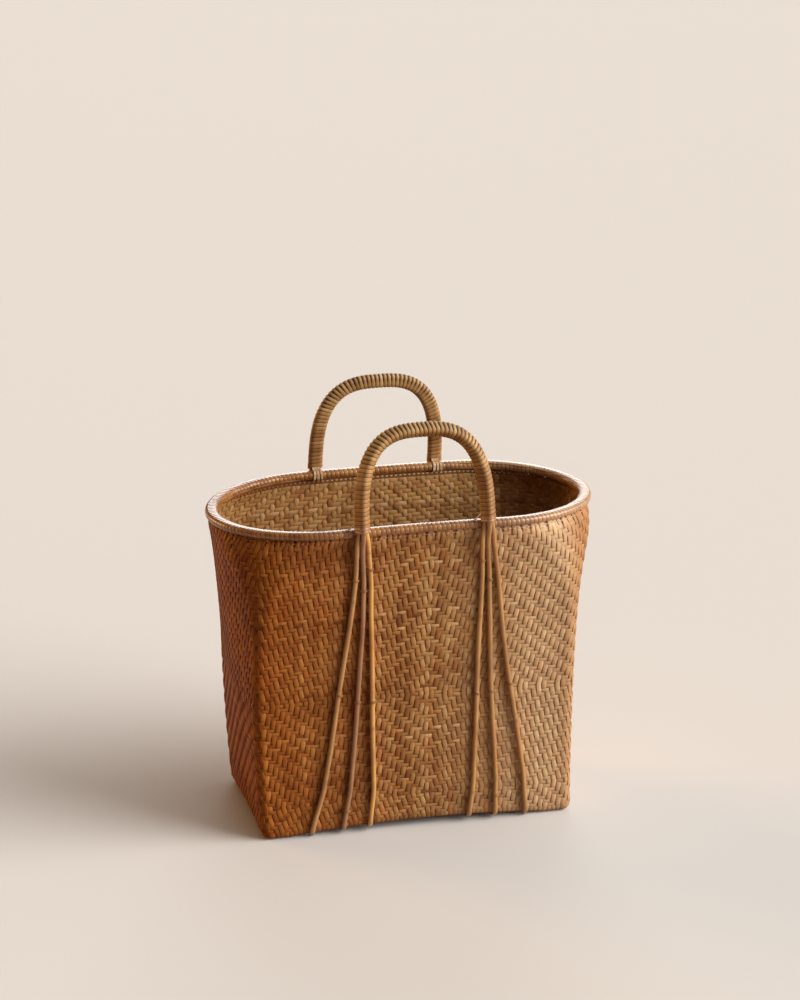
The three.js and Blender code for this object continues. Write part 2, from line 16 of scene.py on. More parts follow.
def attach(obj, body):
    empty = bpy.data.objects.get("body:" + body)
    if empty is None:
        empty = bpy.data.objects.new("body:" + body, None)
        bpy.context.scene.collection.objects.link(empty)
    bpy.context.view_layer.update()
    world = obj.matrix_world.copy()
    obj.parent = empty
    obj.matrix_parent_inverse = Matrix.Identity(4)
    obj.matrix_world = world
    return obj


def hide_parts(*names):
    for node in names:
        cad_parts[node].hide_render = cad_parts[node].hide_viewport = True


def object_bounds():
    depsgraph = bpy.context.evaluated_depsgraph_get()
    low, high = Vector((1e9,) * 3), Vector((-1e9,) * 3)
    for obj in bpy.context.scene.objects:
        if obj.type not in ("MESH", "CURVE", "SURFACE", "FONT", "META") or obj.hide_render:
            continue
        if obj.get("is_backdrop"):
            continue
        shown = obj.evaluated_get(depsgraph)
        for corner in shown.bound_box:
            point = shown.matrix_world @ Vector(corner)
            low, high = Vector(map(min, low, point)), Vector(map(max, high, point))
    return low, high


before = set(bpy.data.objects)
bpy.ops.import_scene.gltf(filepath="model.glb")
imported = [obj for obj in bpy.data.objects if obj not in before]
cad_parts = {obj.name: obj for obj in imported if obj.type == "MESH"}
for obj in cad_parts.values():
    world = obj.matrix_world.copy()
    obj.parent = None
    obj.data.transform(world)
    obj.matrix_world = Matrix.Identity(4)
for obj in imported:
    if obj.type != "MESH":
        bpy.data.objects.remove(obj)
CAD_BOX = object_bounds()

log = logging.getLogger("basket")

MM = 0.001
BODY = "root"
TO_THE_BACK = Matrix.Rotation(math.pi, 4, "Z")
Array = np.ndarray
# Strips by strip and station: points, normals, width shares, painted shade where they dive, and paleness
Laid = tuple[Array, Array, Array, Array, Array]


class Side(Enum):
    """The two long sides, each with its handle."""

    FRONT = "front"
    BACK = "back"

    @property
    def way(self) -> float:
        """Sense of +X on this side, seen from outside."""
        return 1.0 if self is Side.FRONT else -1.0


class Leg(Enum):
    """The two legs of a handle, seen from outside."""

    LEFT = "left"
    RIGHT = "right"

    @property
    def way(self) -> float:
        """Sense in which the leg lies from the handle's middle."""
        return 1.0 if self is Leg.RIGHT else -1.0


class Slot(Enum):
    """Material slots of the record."""

    WEAVE = "weave"
    HOOP = "hoop"
    BINDING = "binding"
    CANE = "cane"
    WRAP = "wrap"
    LASHING = "lashing"
    TIE = "tie"


def smooth(x: Array, low: float, high: float) -> Array:
    """Rises gently from 0 to 1 between two limits."""
    t = np.clip((np.asarray(x, float) - low) / (high - low), 0.0, 1.0)
    return t * t * (3.0 - 2.0 * t)


def unit(vectors: Array) -> Array:
    """Gives each vector of an array the length 1."""
    return vectors / np.maximum(np.linalg.norm(vectors, axis=-1, keepdims=True), 1e-12)


def rounded(wave: Array, power: float) -> Array:
    """Raises the size of a sine or cosine to a power, for a rounded square, and keeps its sign."""
    return np.sign(wave) * np.abs(wave) ** power


def length_along(line: Array) -> Array:
    """Measures how far along a line each of its points lies."""
    return np.concatenate([[0.0], np.cumsum(np.linalg.norm(np.diff(line, axis=0), axis=1))])


def places_on(line: Array, run: Array, at: Array) -> Array:
    """Finds the places of a line at given lengths along it."""
    return np.stack([np.interp(at, run, column) for column in line.T], axis=-1)


def softened(line: Array) -> Array:
    """Rounds a line's bends a little and keeps its ends.

    Args:
        line: Places along the line, which are moved.

    Returns:
        The same line.
    """
    for _ in range(2):
        line[1:-1] = (line[:-2] + 2 * line[1:-1] + line[2:]) / 4
    return line


def end_for_end(laid: Laid) -> Laid:
    """Turns laid strips end for end."""
    return tuple(part[:, ::-1] for part in laid)


@dataclass(frozen=True)
class BasketForm:
    """The basket's form in millimetres, as the frame has it."""

    mouth_length: float = 380.0
    mouth_depth: float = 198.0
    mouth_end_run: float = 112.0
    base_length: float = 311.0
    base_depth: float = 160.0
    base_corner: float = 9.0
    rim_top: float = 316.0
    rim_end_drop: float = 4.0
    weave_thickness: float = 2.6
    bottom_edge: float = 7.0
    length_flare: float = 1.9
    depth_flare: float = 1.7
    corner_opening: float = 10.0
    end_belly: float = 1.0
    foot_start_x: float = 127.5
    foot_start_y: float = 62.0
    long_arch: float = 6.0
    end_arch: float = 3.0
    lift_fade: float = 60.0
    rim_build_up: float = 4.8
    binding_bottom: float = 307.8
    wall_top: float = 314.9
    upright_from: float = 306.8
    tilt_reach: float = 3.0
    quarter_uprights: int = 51
    arc_samples: int = 160
    end_samples: int = 40

    def section(self, height: float) -> tuple[float, float, float, float, float]:
        """Measures the outline at a height.

        Args:
            height: Height on the wall, before its lift and drop.

        Returns:
            Half length, half depth, the corner's run along each, and the ends' belly.
        """
        t = min(max(height / self.upright_from, 0.0), 1.0)
        long, deep, opening = t**self.length_flare, t**self.depth_flare, t**self.corner_opening
        length = self.base_length / 2 * (1 - long) + (self.mouth_length / 2 - self.rim_build_up) * long
        depth = self.base_depth / 2 * (1 - deep) + (self.mouth_depth / 2 - self.rim_build_up) * deep
        arc_x = self.base_corner * (1 - opening) + (self.mouth_end_run - self.rim_build_up) * opening
        arc_y = self.base_corner * (1 - opening) + depth * opening
        belly = self.end_belly * (length - self.base_length / 2) * (1 - opening)
        return length, depth, arc_x, arc_y, belly

    def under_lift(self, x: Array, y: Array) -> Array:
        """How far the underside is lifted off the floor between its four feet."""
        along_x = np.maximum(0.0, 1 - (x / self.foot_start_x) ** 2)
        return self.long_arch * along_x + self.end_arch * np.maximum(0.0, 1 - (y / self.foot_start_y) ** 2)

    def end_drop(self, x: Array) -> Array:
        """How much lower the rim lies towards its ends."""
        return self.rim_end_drop * (x / (self.mouth_length / 2)) ** 2

    def ring(self, height: float, places: Array) -> Array:
        """Finds places on the outline at a height.

        Args:
            height: Height on the wall.
            places: Places counted in uprights from the front's middle towards the left.

        Returns:
            Rows of x, y and the outward normal's x and y.
        """
        length, depth, arc_x, arc_y, belly = self.section(height)
        angle = np.linspace(math.pi / 2, 0.0, self.arc_samples)
        end = np.linspace(1.0, 0.0, self.end_samples)[1:] * (depth - arc_y)
        x = np.concatenate([[0.0], length - arc_x + arc_x * np.cos(angle), np.full(len(end), length)])
        y = np.concatenate([[depth], depth - arc_y + arc_y * np.sin(angle), end])
        normal = np.stack([np.cos(angle) / arc_x, np.sin(angle) / arc_y], axis=1)
        normal = unit(np.concatenate([[[0.0, 1.0]], normal, np.tile([1.0, 0.0], (len(end), 1))]))
        # The belly draws the corners in from the ends
        drawn_in = 1 - belly / length * (y / depth) ** 2
        slope = -2 * belly / length * y / depth**2
        turned = [normal[:, 0] / drawn_in, normal[:, 1] - normal[:, 0] * x * slope / drawn_in]
        line = np.column_stack([x * drawn_in, y, unit(np.stack(turned, axis=1))])
        run = length_along(line[:, :2])
        place = np.mod(places, 4 * self.quarter_uprights)
        quarter = np.minimum((place // self.quarter_uprights).astype(int), 3)
        within = place - quarter * self.quarter_uprights
        share = np.where(quarter % 2 == 0, within, self.quarter_uprights - within) / self.quarter_uprights
        sign_x = np.where(quarter < 2, -1.0, 1.0)
        sign_y = np.where((quarter == 0) | (quarter == 3), -1.0, 1.0)
        return places_on(line, run, share * run[-1]) * np.stack([sign_x, sign_y] * 2, axis=-1)

    def wall(self, height: float, places: Array) -> tuple[Array, Array]:
        """Finds the wall's outer face at a height.

        Args:
            height: Height on the wall.
            places: Places counted in uprights.

        Returns:
            The points and their outward normals.
        """
        x, y, nx, ny = np.moveaxis(self.ring(height, places), -1, 0)
        low, high = max(height - self.tilt_reach, 0.0), min(height + self.tilt_reach, self.wall_top)
        change = (self.ring(high, places) - self.ring(low, places)) / (high - low)
        tilt = change[..., 0] * nx + change[..., 1] * ny
        lift = self.under_lift(x, y) * max(0.0, 1 - height / self.lift_fade)
        z = height + lift - self.end_drop(x) * (height / self.wall_top) ** 2
        return np.stack([x, y, z], axis=-1), unit(np.stack([nx, ny, -tilt], axis=-1))

    def edge(self, turn: float, places: Array) -> tuple[Array, Array]:
        """Finds the rounded bottom edge.

        Args:
            turn: Angle round the edge in radians, 0 at the wall and a right angle underneath.
            places: Places counted in uprights.

        Returns:
            The points and their outward normals.
        """
        x, y, nx, ny = np.moveaxis(self.ring(0.0, places), -1, 0)
        sin, cos = math.sin(turn), math.cos(turn)
        x, y = x - nx * self.bottom_edge * (1 - cos), y - ny * self.bottom_edge * (1 - cos)
        z = self.bottom_edge * (1 - sin) + self.under_lift(x, y)
        return np.stack([x, y, z], axis=-1), np.stack([nx * cos, ny * cos, np.full_like(nx, -sin)], axis=-1)


def facing_out(points: Array, faces: list[Array]) -> list[Array]:
    """Turns the faces of closed bodies so that they point outwards.

    Args:
        points: All points.
        faces: Arrays of faces that share one sense of turning.

    Returns:
        The faces, reversed if they pointed inwards.
    """
    volume = 0.0
    for part in faces:
        for k in range(1, part.shape[1] - 1):
            a, b, c = points[part[:, 0]], points[part[:, k]], points[part[:, k + 1]]
            volume += float(np.einsum("ij,ij->", a, np.cross(b, c)))
    return faces if volume > 0 else [part[:, ::-1] for part in faces]


def ring_faces(index: Array, closed: bool = False) -> Array:
    """Joins each ring of points to the next one.

    Args:
        index: Numbers of the points by strip, ring and place on the ring.
        closed: Whether the last ring joins the first one.

    Returns:
        The four-cornered faces.
    """
    here = index if closed else index[:, :-1]
    ahead = np.roll(index, -1, axis=1)[:, : here.shape[1]]
    return np.stack([here, np.roll(here, -1, 2), np.roll(ahead, -1, 2), ahead], axis=-1).reshape(-1, 4)


def keep_values(mesh: bpy.types.Mesh, shape: tuple[int, ...], values: dict[str, Any]) -> None:
    """Keeps what a finish needs to know of every point.

    Args:
        mesh: The mesh.
        shape: Shape of the array of its points.
        values: By name, numbers for the points, or three of them for a vector.
    """
    for key, numbers in values.items():
        vector = isinstance(numbers, tuple)
        parts = [np.broadcast_to(part, shape) for part in (numbers if vector else (numbers,))]
        attribute = mesh.attributes.new(key, "FLOAT_VECTOR" if vector else "FLOAT", "POINT")
        flat = np.stack(parts, axis=-1).astype(np.float32).ravel()
        attribute.data.foreach_set("vector" if vector else "value", flat)


def add_object(name: str, points: Array, faces: list[Array], values: dict[str, Any]) -> bpy.types.Object:
    """Makes a smooth-shaded mesh object from millimetre points.

    Args:
        name: The piece's name.
        points: Points in millimetres.
        faces: Arrays of faces, each array with one count of corners.
        values: What is kept for every point, for the finish.

    Returns:
        The new object.
    """
    mesh = bpy.data.meshes.new(name)
    flat = points.reshape(-1, 3)
    faces = facing_out(flat, faces)
    corners = np.concatenate([part.ravel() for part in faces]).astype(np.int32)
    sizes = np.concatenate([np.full(len(part), part.shape[1]) for part in faces])
    mesh.vertices.add(len(flat))
    mesh.vertices.foreach_set("co", (flat * MM).astype(np.float32).ravel())
    mesh.loops.add(len(corners))
    mesh.loops.foreach_set("vertex_index", corners)
    mesh.polygons.add(len(sizes))
    mesh.polygons.foreach_set("loop_start", np.concatenate([[0], np.cumsum(sizes)[:-1]]).astype(np.int32))
    mesh.update(calc_edges=True)
    mesh.validate()
    mesh.polygons.foreach_set("use_smooth", np.ones(len(mesh.polygons), bool))
    keep_values(mesh, points.shape[:-1], values)
    made = bpy.data.objects.new(name, mesh)
    bpy.context.scene.collection.objects.link(made)
    return made


def finish_piece(piece: bpy.types.Object, material: bpy.types.Material, node: str) -> None:
    """Dresses a piece and ties it to the frame.

    Args:
        piece: The finished piece.
        material: Its finish.
        node: The frame's node that it stands for.
    """
    piece.data.materials.clear()
    piece.data.materials.append(material)
    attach(piece, BODY)
    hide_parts(node)
    log.info("%s: %d faces", piece.name, len(piece.data.polygons))


def deselect_all() -> None:
    """Leaves nothing selected, so that an operator acts on the new piece alone."""
    for thing in bpy.context.selected_objects:
        thing.select_set(False)


def select_edges(piece: bpy.types.Object, wanted: Callable[[Any], bool]) -> None:
    """Selects some edges of a piece in edit mode.

    Args:
        piece: The piece.
        wanted: Says of an edge whether it is selected.
    """
    bpy.ops.mesh.select_all(action="DESELECT")
    mesh = bmesh.from_edit_mesh(piece.data)
    for edge in mesh.edges:
        edge.select = wanted(edge)
    mesh.select_flush_mode()
    bmesh.update_edit_mesh(piece.data)


def apply_modifiers(piece: bpy.types.Object, *steps: tuple[str, str, dict[str, Any]]) -> None:
    """Adds modifiers to the active piece and applies each in turn.

    Args:
        piece: The piece.
        steps: Each modifier's name, kind and settings.
    """
    for name, kind, settings in steps:
        modifier = piece.modifiers.new(name, kind)
        for key, value in settings.items():
            setattr(modifier, key, value)
        bpy.ops.object.modifier_apply(modifier=name)


@dataclass
class StripSet:
    """Strips of one kind along their own lines, each flat with rounded edges."""

    points: Array
    normals: Array
    widths: Array
    thickness: float
    tones: Array
    dive: Array
    closed: bool = False
    section: tuple[tuple[float, float], ...] = (
        (-0.5, 0.0), (-0.4, 0.5), (0.4, 0.5), (0.5, 0.0), (0.4, -0.5), (-0.4, -0.5),
    )
    camber: float = 0.3
    fibre_spread: float = 400.0

    def build(self, name: str, seed: int) -> bpy.types.Object:
        """Builds all strips as one piece.

        Args:
            name: The piece's name.
            seed: Seed of the places where each strip's fibres start.

        Returns:
            The piece.
        """
        if self.closed:
            along = unit(np.roll(self.points, -1, axis=1) - np.roll(self.points, 1, axis=1))
        else:
            along = unit(np.gradient(self.points, axis=1))
        side = unit(np.cross(self.normals, along))
        out = np.cross(along, side)
        across, up = np.array(self.section).T
        lateral, raised = across * self.widths[..., None], up * self.thickness
        points = self.points[:, :, None] + side[:, :, None] * lateral[..., None]
        points = points + out[:, :, None] * raised[:, None]
        index = np.arange(lateral.size).reshape(lateral.shape)
        faces = [ring_faces(index, self.closed)]
        if not self.closed:
            faces.append(np.concatenate([index[:, 0, ::-1], index[:, -1]]))
        steps = np.linalg.norm(np.diff(self.points, axis=1), axis=-1)
        start = np.random.default_rng(seed).uniform(0, self.fibre_spread, len(points))[:, None]
        run = np.concatenate([0 * start, np.cumsum(steps, axis=1)], axis=1) + start
        # The colour is deepened as painted shade where a strip dives under its neighbours
        values = {
            "fibre": (lateral, run[..., None], start[..., None]),
            "tone": self.tones[..., None],
            "dive": self.dive[..., None],
            "outside": (up >= 0).astype(float),
        }
        made = add_object(name, points, faces, values)
        # The edges are shaded as if the strip's faces were a little cambered
        sideways = np.sign(across) * np.where(up == 0, 1.0, self.camber)
        shading = side[:, :, None] * sideways[:, None] + out[:, :, None] * np.sign(up)[:, None]
        made.data.normals_split_custom_set_from_vertices(unit(shading).reshape(-1, 3).tolist())
        return made


@dataclass
class PlaitedBody:
    """The body: flat bamboo strips in a 2/2 twill whose direction turns at the middle of the
    front, so that concentric diamonds show. Uprights run down a wall, under the base and up the
    other wall; cross strips run round the wall."""

    form: BasketForm
    rows: int = 75
    sliver_rows: int = 3
    row_pitch: float = 4.1
    first_row: float = 9.0
    mirror_row: int = 32
    front_mirror: int = -2
    low_mirror_row: int = 6
    upright_width: float = 4.85
    upright_thickness: float = 1.25
    upright_swing: float = 0.58
    upright_hold: float = 0.28
    upright_bow: float = 0.1
    upright_dive_shade: float = 0.35
    upright_lean: float = 0.38
    cross_width: float = 4.12
    cross_thickness: float = 0.75
    cross_swing: float = 0.4
    cross_hold: float = 0.14
    cross_outer_width: float = 0.88
    cross_lean: float = 0.25
    top_cross_width: float = 1.14
    sliver_width: float = 0.84
    sliver_lean: float = 1.3
    sliver_pale: float = 0.3
    sliver_cross_tone: float = 0.25
    belly_shift: float = -7.5
    belly_low: float = 0.85
    belly_right: float = 0.05
    waviness: float = 0.5
    long_places: int = 33
    end_places: int = 17
    base_half_length: float = 147.5
    base_half_depth: float = 71.5
    base_blend: float = 20.0
    strand_height: float = 304.9
    strand_width: float = 1.4
    strand_thickness: float = 0.7
    seed: int = 7

    @property
    def around(self) -> int:
        """Number of uprights round the wall."""
        return 4 * self.form.quarter_uprights

    @property
    def back(self) -> int:
        """Place of the upright in the middle of the back."""
        return 2 * self.form.quarter_uprights

    @property
    def sunk(self) -> float:
        """Depth of the weave's middle below its outer face."""
        return self.form.weave_thickness / 2

    def from_mirror(self, places: Array) -> Array:
        """Counts places on from the front's mirror line, which lies a little right of the middle."""
        return np.mod(places - self.front_mirror, self.around) + self.front_mirror

    def column_step(self, places: Array) -> Array:
        """Share of the twill's step that the upright gives, turned at each mirror line.

        Args:
            places: Uprights.

        Returns:
            Their steps.
        """
        corner, end = self.long_places, self.around + self.front_mirror
        turns = np.array([self.front_mirror, corner, self.back, self.back + corner, end])
        steps = np.concatenate([[0], np.cumsum(np.diff(turns) * [1, -1, 1, -1])])
        return np.interp(self.from_mirror(places), turns, steps)

    def column_slope(self, places: Array) -> Array:
        """Direction in which the upright's step changes towards the left.

        Args:
            places: Uprights.

        Returns:
            1 where it rises, -1 where it falls.
        """
        corner, place = self.long_places, self.from_mirror(places)
        rising = (place < corner) | ((place >= self.back) & (place < self.back + corner))
        return np.where(rising, 1.0, -1.0)

    def row_step(self, rows: Array) -> Array:
        """Share of the twill's step that the row gives, turned at the mirror rows."""
        low, middle = self.low_mirror_row, self.mirror_row
        return np.where(rows < low, middle - 2 * low + rows, np.abs(rows - middle))

    def row_slope(self, rows: Array) -> Array:
        """Direction in which the row's step changes upwards."""
        return np.where((rows >= self.low_mirror_row) & (rows < self.mirror_row), -1.0, 1.0)

    def twill(self, places: Array, rows: Array) -> Array:
        """Step of the twill at a crossing: the upright is outside at 0 and 1.

        Args:
            places: Uprights.
            rows: Rows.

        Returns:
            Steps from 0 to 3.
        """
        place = self.from_mirror(places)
        paired = (rows < self.mirror_row) & (place > self.back)
        step = self.column_step(place) + self.row_step(rows) - paired
        return np.mod(np.round(step).astype(int), 4)

    def wave(self, at_crossings: Array) -> Array:
        """Puts a station between each two crossings.

        Args:
            at_crossings: A value at each crossing of each strip.

        Returns:
            The values at the crossings and between them.
        """
        woven = np.repeat(at_crossings, 2, axis=1)[:, :-1]
        woven[:, 1::2] = (at_crossings[:, :-1] + at_crossings[:, 1:]) / 2
        return woven

    def on_wall(self, height: float, places: Array) -> tuple[Array, Array]:
        """Finds the wall's outer face with the belly of its left end and its unevenness.

        Args:
            height: Height on the wall.
            places: Places counted in uprights.

        Returns:
            The points and their outward normals.
        """
        points, normals = self.form.wall(height, places)
        share = min(max(height / self.form.upright_from, 0.0), 1.0)
        x, y = points[..., 0], points[..., 1]
        leftward = np.clip(0.5 - x / self.form.mouth_length, 0.0, 1.0)
        bulge = self.belly_right + (1 - self.belly_right) * leftward
        angle = np.arctan2(y, x)
        ripple = np.sin(5 * angle + 0.021 * height) + np.sin(9 * angle - 0.034 * height + 1.7)
        ripple = self.waviness / 2 * np.sin(math.pi * share) * ripple
        shift = self.belly_shift * bulge * math.sin(math.pi * share**self.belly_low)
        moved = [x + shift + ripple * np.cos(angle), y + ripple * np.sin(angle), points[..., 2]]
        return np.stack(moved, axis=-1), normals

    def tone_of(self, count: int, rng: np.random.Generator) -> Array:
        """Chooses a tone for each strip, with a few strips much paler or darker.

        Args:
            count: How many strips.
            rng: The seeded source of chance.

        Returns:
            Tones from 0, dark, to 1, pale.
        """
        tone = rng.normal(0.5, 0.1, count)
        odd = rng.uniform(0, 1, count)
        return np.clip(np.where(odd > 0.93, 0.78, np.where(odd < 0.07, 0.2, tone)), 0.03, 0.97)

    def wall_leg(self, places: Array, shifts: Array) -> Laid:
        """Lays the wall part of uprights, from the rim down to the bottom edge.

        Args:
            places: Uprights.
            shifts: Sideways unevenness of each upright, in millimetres.

        Returns:
            The laid strips.
        """
        step = self.twill(places[:, None], np.arange(self.rows)[None, :])
        over = np.where(step < 2, 1.0, -1.0)
        over[:, -self.sliver_rows :] = 1.0
        leaning = np.array([-1.0, 1.0, 1.0, -1.0])[step] * self.upright_lean
        shift = self.wave(leaning * self.column_slope(places)[:, None])
        raised = self.wave(over)
        between = raised == 0.0
        offset = raised * self.upright_swing + between * self.upright_hold - self.sunk
        offset[:, 1::2] += self.upright_bow * raised[:, 1::2]
        heights = self.first_row + self.row_pitch / 2 * np.arange(2 * self.rows - 1)
        top = heights[-1]
        # Under the rim the uprights are split into slivers that cross one another
        crossed = smooth(heights, top - 4.5 * self.row_pitch, top) * self.sliver_lean
        shift = shift + crossed * (np.sin(1.9 * places) + np.sin(3.1 * places + 1.0))[:, None]
        pitch = self.form.base_length / (2 * self.long_places)
        faces = [self.on_wall(h, places + (shift[:, k] + shifts) / pitch) for k, h in enumerate(heights)]
        points, normals = (np.stack(part, axis=1) for part in zip(*faces))
        sliver = smooth(heights, top - 3.2 * self.row_pitch, top - 2.0 * self.row_pitch)
        width = np.where(between, 0.95, 1.0) * (1 - (1 - self.sliver_width) * sliver)
        pale = np.broadcast_to(sliver, width.shape)
        points = points + normals * offset[..., None]
        # Where an upright passes between the cross strips it gets painted shade
        return end_for_end((points, normals, width, between * self.upright_dive_shade, pale))

    def edge_leg(self, places: Array) -> Laid:
        """Lays the part of uprights that turns under at the bottom edge.

        Args:
            places: Uprights.

        Returns:
            The laid strips.
        """
        faces = [self.form.edge(turn * math.pi / 2, places) for turn in (0.0, 0.25, 0.5, 0.75, 1.0)]
        points, normals = (np.stack(part, axis=1) for part in zip(*faces))
        ones = np.ones(points.shape[:2])
        # The bottom edge gets a little painted shade all along
        return points - normals * self.sunk, normals, ones, 0.2 * ones, 0.0 * ones

    def base_leg(self, start: Array, numbers: Array, lengthwise: bool) -> Laid:
        """Lays the part of uprights that crosses the base.

        Args:
            start: Points where the strips come in under the base.
            numbers: Number of each strip from the base's middle.
            lengthwise: Whether the strips run along the base's length.

        Returns:
            The laid strips.
        """
        ways = [(self.long_places, self.base_half_length), (self.end_places, self.base_half_depth)]
        (count, reach), (others, spread) = ways if lengthwise else ways[::-1]
        step = np.mod(np.abs(numbers)[:, None] + np.abs(np.arange(-count, count + 1)), 4)
        raised = self.wave(np.where(step < 2, 1.0, -1.0) * (-1.0 if lengthwise else 1.0))
        between = raised == 0.0
        run = np.linspace(-reach, reach, raised.shape[1])
        near = smooth(np.abs(run), reach - self.base_blend, reach)
        own, even = start[:, 1 if lengthwise else 0], numbers * spread / others
        across = own[:, None] * near + even[:, None] * (1 - near)
        run = np.broadcast_to(run, across.shape)
        x, y = (run, across) if lengthwise else (across, run)
        z = self.form.under_lift(x, y) + self.sunk - raised * self.cross_swing
        down = np.broadcast_to([0.0, 0.0, -1.0], (*x.shape, 3))
        # Where a strip passes between its neighbours under the base it gets painted shade
        return np.stack([x, y, z], axis=-1), down, np.where(between, 0.88, 0.95), 1.0 * between, 0.0 * x

    def uprights(self, numbers: Array, lengthwise: bool, seed: int) -> StripSet:
        """Lays whole strips from rim to rim under the base.

        Args:
            numbers: Numbers of the strips from the base's middle.
            lengthwise: Whether they run along the base's length.
            seed: Seed of their unevenness.

        Returns:
            The strips.
        """
        rng = np.random.default_rng(seed)
        jitter = rng.normal(0, 0.12, len(numbers))
        quarter = self.form.quarter_uprights
        first, second = -numbers, self.back + numbers
        if lengthwise:
            first, second = first + quarter, second + quarter
        edge = self.edge_leg(first)
        parts = [
            self.wall_leg(first, jitter),
            edge,
            self.base_leg(edge[0][:, -1], numbers, lengthwise),
            end_for_end(self.edge_leg(second)),
            end_for_end(self.wall_leg(second, -jitter)),
        ]
        points, normals, width, dive, pale = (np.concatenate(part, axis=1) for part in zip(*parts))
        tones = self.tone_of(len(numbers), rng)[:, None] + self.sliver_pale * pale
        widths = self.upright_width * width * rng.uniform(0.98, 1.05, (len(numbers), 1))
        return StripSet(points, normals, widths, self.upright_thickness, tones, dive)

    def cross_strips(self, rows: Array, seed: int) -> StripSet:
        """Lays cross strips round the wall.

        Args:
            rows: Their rows.
            seed: Seed of their unevenness.

        Returns:
            The strips.
        """
        rng = np.random.default_rng(seed)
        first_sliver = self.rows - self.sliver_rows
        step = self.twill(np.arange(self.around)[None, :], rows[:, None])
        over = np.where(step >= 2, 1.0, -1.0)
        over[rows >= first_sliver] = -1.0
        leaning = np.array([1.0, -1.0, -1.0, 1.0])[step] * self.cross_lean * self.row_slope(rows)[:, None]
        raised, rise = (
            self.wave(np.concatenate([part, part[:, :1]], axis=1))[:, :-1] for part in (over, leaning)
        )
        between = raised == 0.0
        offset = raised * self.cross_swing - between * self.cross_hold - self.sunk
        half_places = np.arange(2 * self.around) / 2
        heights = [self.first_row + self.row_pitch * row + rng.normal(0, 0.1) for row in rows]
        points, normals = (np.stack(part) for part in zip(*[self.on_wall(h, half_places) for h in heights]))
        points = points + normals * offset[..., None]
        points[..., 2] += rise
        widths = self.cross_width * np.where(raised > 0.0, self.cross_outer_width, 1.0)
        widths = widths * rng.uniform(0.98, 1.04, (len(rows), 1))
        near_top = smooth(rows, first_sliver - 5.0, first_sliver - 1.0)[:, None]
        widths = widths * (1 + (self.top_cross_width - 1) * near_top)
        tones = self.tone_of(len(rows), rng)
        tones[rows >= first_sliver] = self.sliver_cross_tone
        return StripSet(
            points, normals, widths, self.cross_thickness, tones[:, None], 1.0 * between, closed=True
        )

    def edge_strands(self) -> StripSet:
        """Lays the two thin pale strands under the binding that stitch over each upright.

        Returns:
            The outer and the inner strand.
        """
        places = np.arange(4 * self.around) / 4
        over = np.cos(2 * math.pi * places)
        points, normals = self.on_wall(self.strand_height, places)
        middle, rise = points - normals * self.sunk, normals * (1.0 + 0.95 * over)[:, None]
        points = np.stack([middle + rise, middle - rise])
        ones = np.ones(points.shape[:2])
        # Painted shade where the strands dive behind the uprights
        dive = np.clip(0.1 - over, 0.0, 1.0) * ones
        return StripSet(
            points, np.stack([normals, -normals]), self.strand_width * ones, self.strand_thickness,
            ones, dive, closed=True,
        )

    def build(self, material: bpy.types.Material) -> None:
        """Builds and dresses the woven pieces.

        Args:
            material: Their finish.
        """
        long_way = np.arange(-self.end_places, self.end_places + 1)
        short_way = np.arange(-self.long_places, self.long_places + 1)
        half = len(short_way) // 2
        sets = {
            "short_strips_right": self.uprights(short_way[:half], False, self.seed),
            "short_strips_left": self.uprights(short_way[half:], False, self.seed + 1),
            "long_strips": self.uprights(long_way, True, self.seed + 2),
        }
        for name, band in zip(("low", "middle", "upper"), np.array_split(np.arange(self.rows), 3)):
            sets[f"cross_strips_{name}"] = self.cross_strips(band, self.seed + 10 + int(band[0]))
        sets["edge_strands"] = self.edge_strands()
        for number, (name, strips) in enumerate(sets.items()):
            made = strips.build(f"weave_{name}", self.seed + 40 + number)
            finish_piece(made, material, "woven_body")


@dataclass(frozen=True)
class CoiledStrip:
    """A strip wound closely round a core, laid as a helical relief. Each turn starts where the
    last one ends."""

    turns: int
    stations: int
    around: int
    depth: float
    groove_from: float
    camber: float
    strip_width: float = 3.0
    turn_length: float = 42.0

    def build(self, name: str, place: Callable, seed: int, gap: Callable | None = None) -> bpy.types.Object:
        """Builds the winding.

        Args:
            name: The piece's name.
            place: Function of the turn, the share round the core and the sunk depth that gives
                the points.
            seed: Seed of the turns' tones.
            gap: Function of the turn and the share round the core that says how far the turns
                stand apart there, if they do.

        Returns:
            The piece.
        """
        count = self.turns * self.stations + 1
        station, share = np.meshgrid(np.arange(count), np.arange(self.around) / self.around, indexing="ij")
        number, across = station // self.stations, np.mod(station / self.stations, 1.0)
        turn = (station / self.stations + share) / (self.turns + 1)
        edge = np.abs(2 * across - 1)
        if gap is not None:
            edge = np.clip(edge + gap(turn, share), 0.0, 1.0)
        groove = smooth(edge, self.groove_from, 1.0)
        points = place(turn, share, self.depth * (self.camber * edge**2 + (1 - self.camber) * groove))
        index = np.arange(station.size).reshape(station.shape)
        inner = np.stack([index[:-1, :-1], index[:-1, 1:], index[1:, 1:], index[1:, :-1]], axis=-1)
        last, first, skip = index[:, -1], index[:, 0], self.stations
        seam = np.stack([last[: -skip - 1], first[skip:-1], first[skip + 1 :], last[1:-skip]], axis=-1)
        tones = np.clip(np.random.default_rng(seed).normal(0.5, 0.14, self.turns + 2), 0.05, 0.95)
        # The grooves between the turns get painted shade
        values = {
            "fibre": (across * self.strip_width, (number + share) * self.turn_length, number),
            "tone": tones[np.minimum(number, self.turns)],
            "dive": groove,
            "outside": 1.0,
        }
        return add_object(name, points, [np.concatenate([inner.reshape(-1, 4), seam])], values)


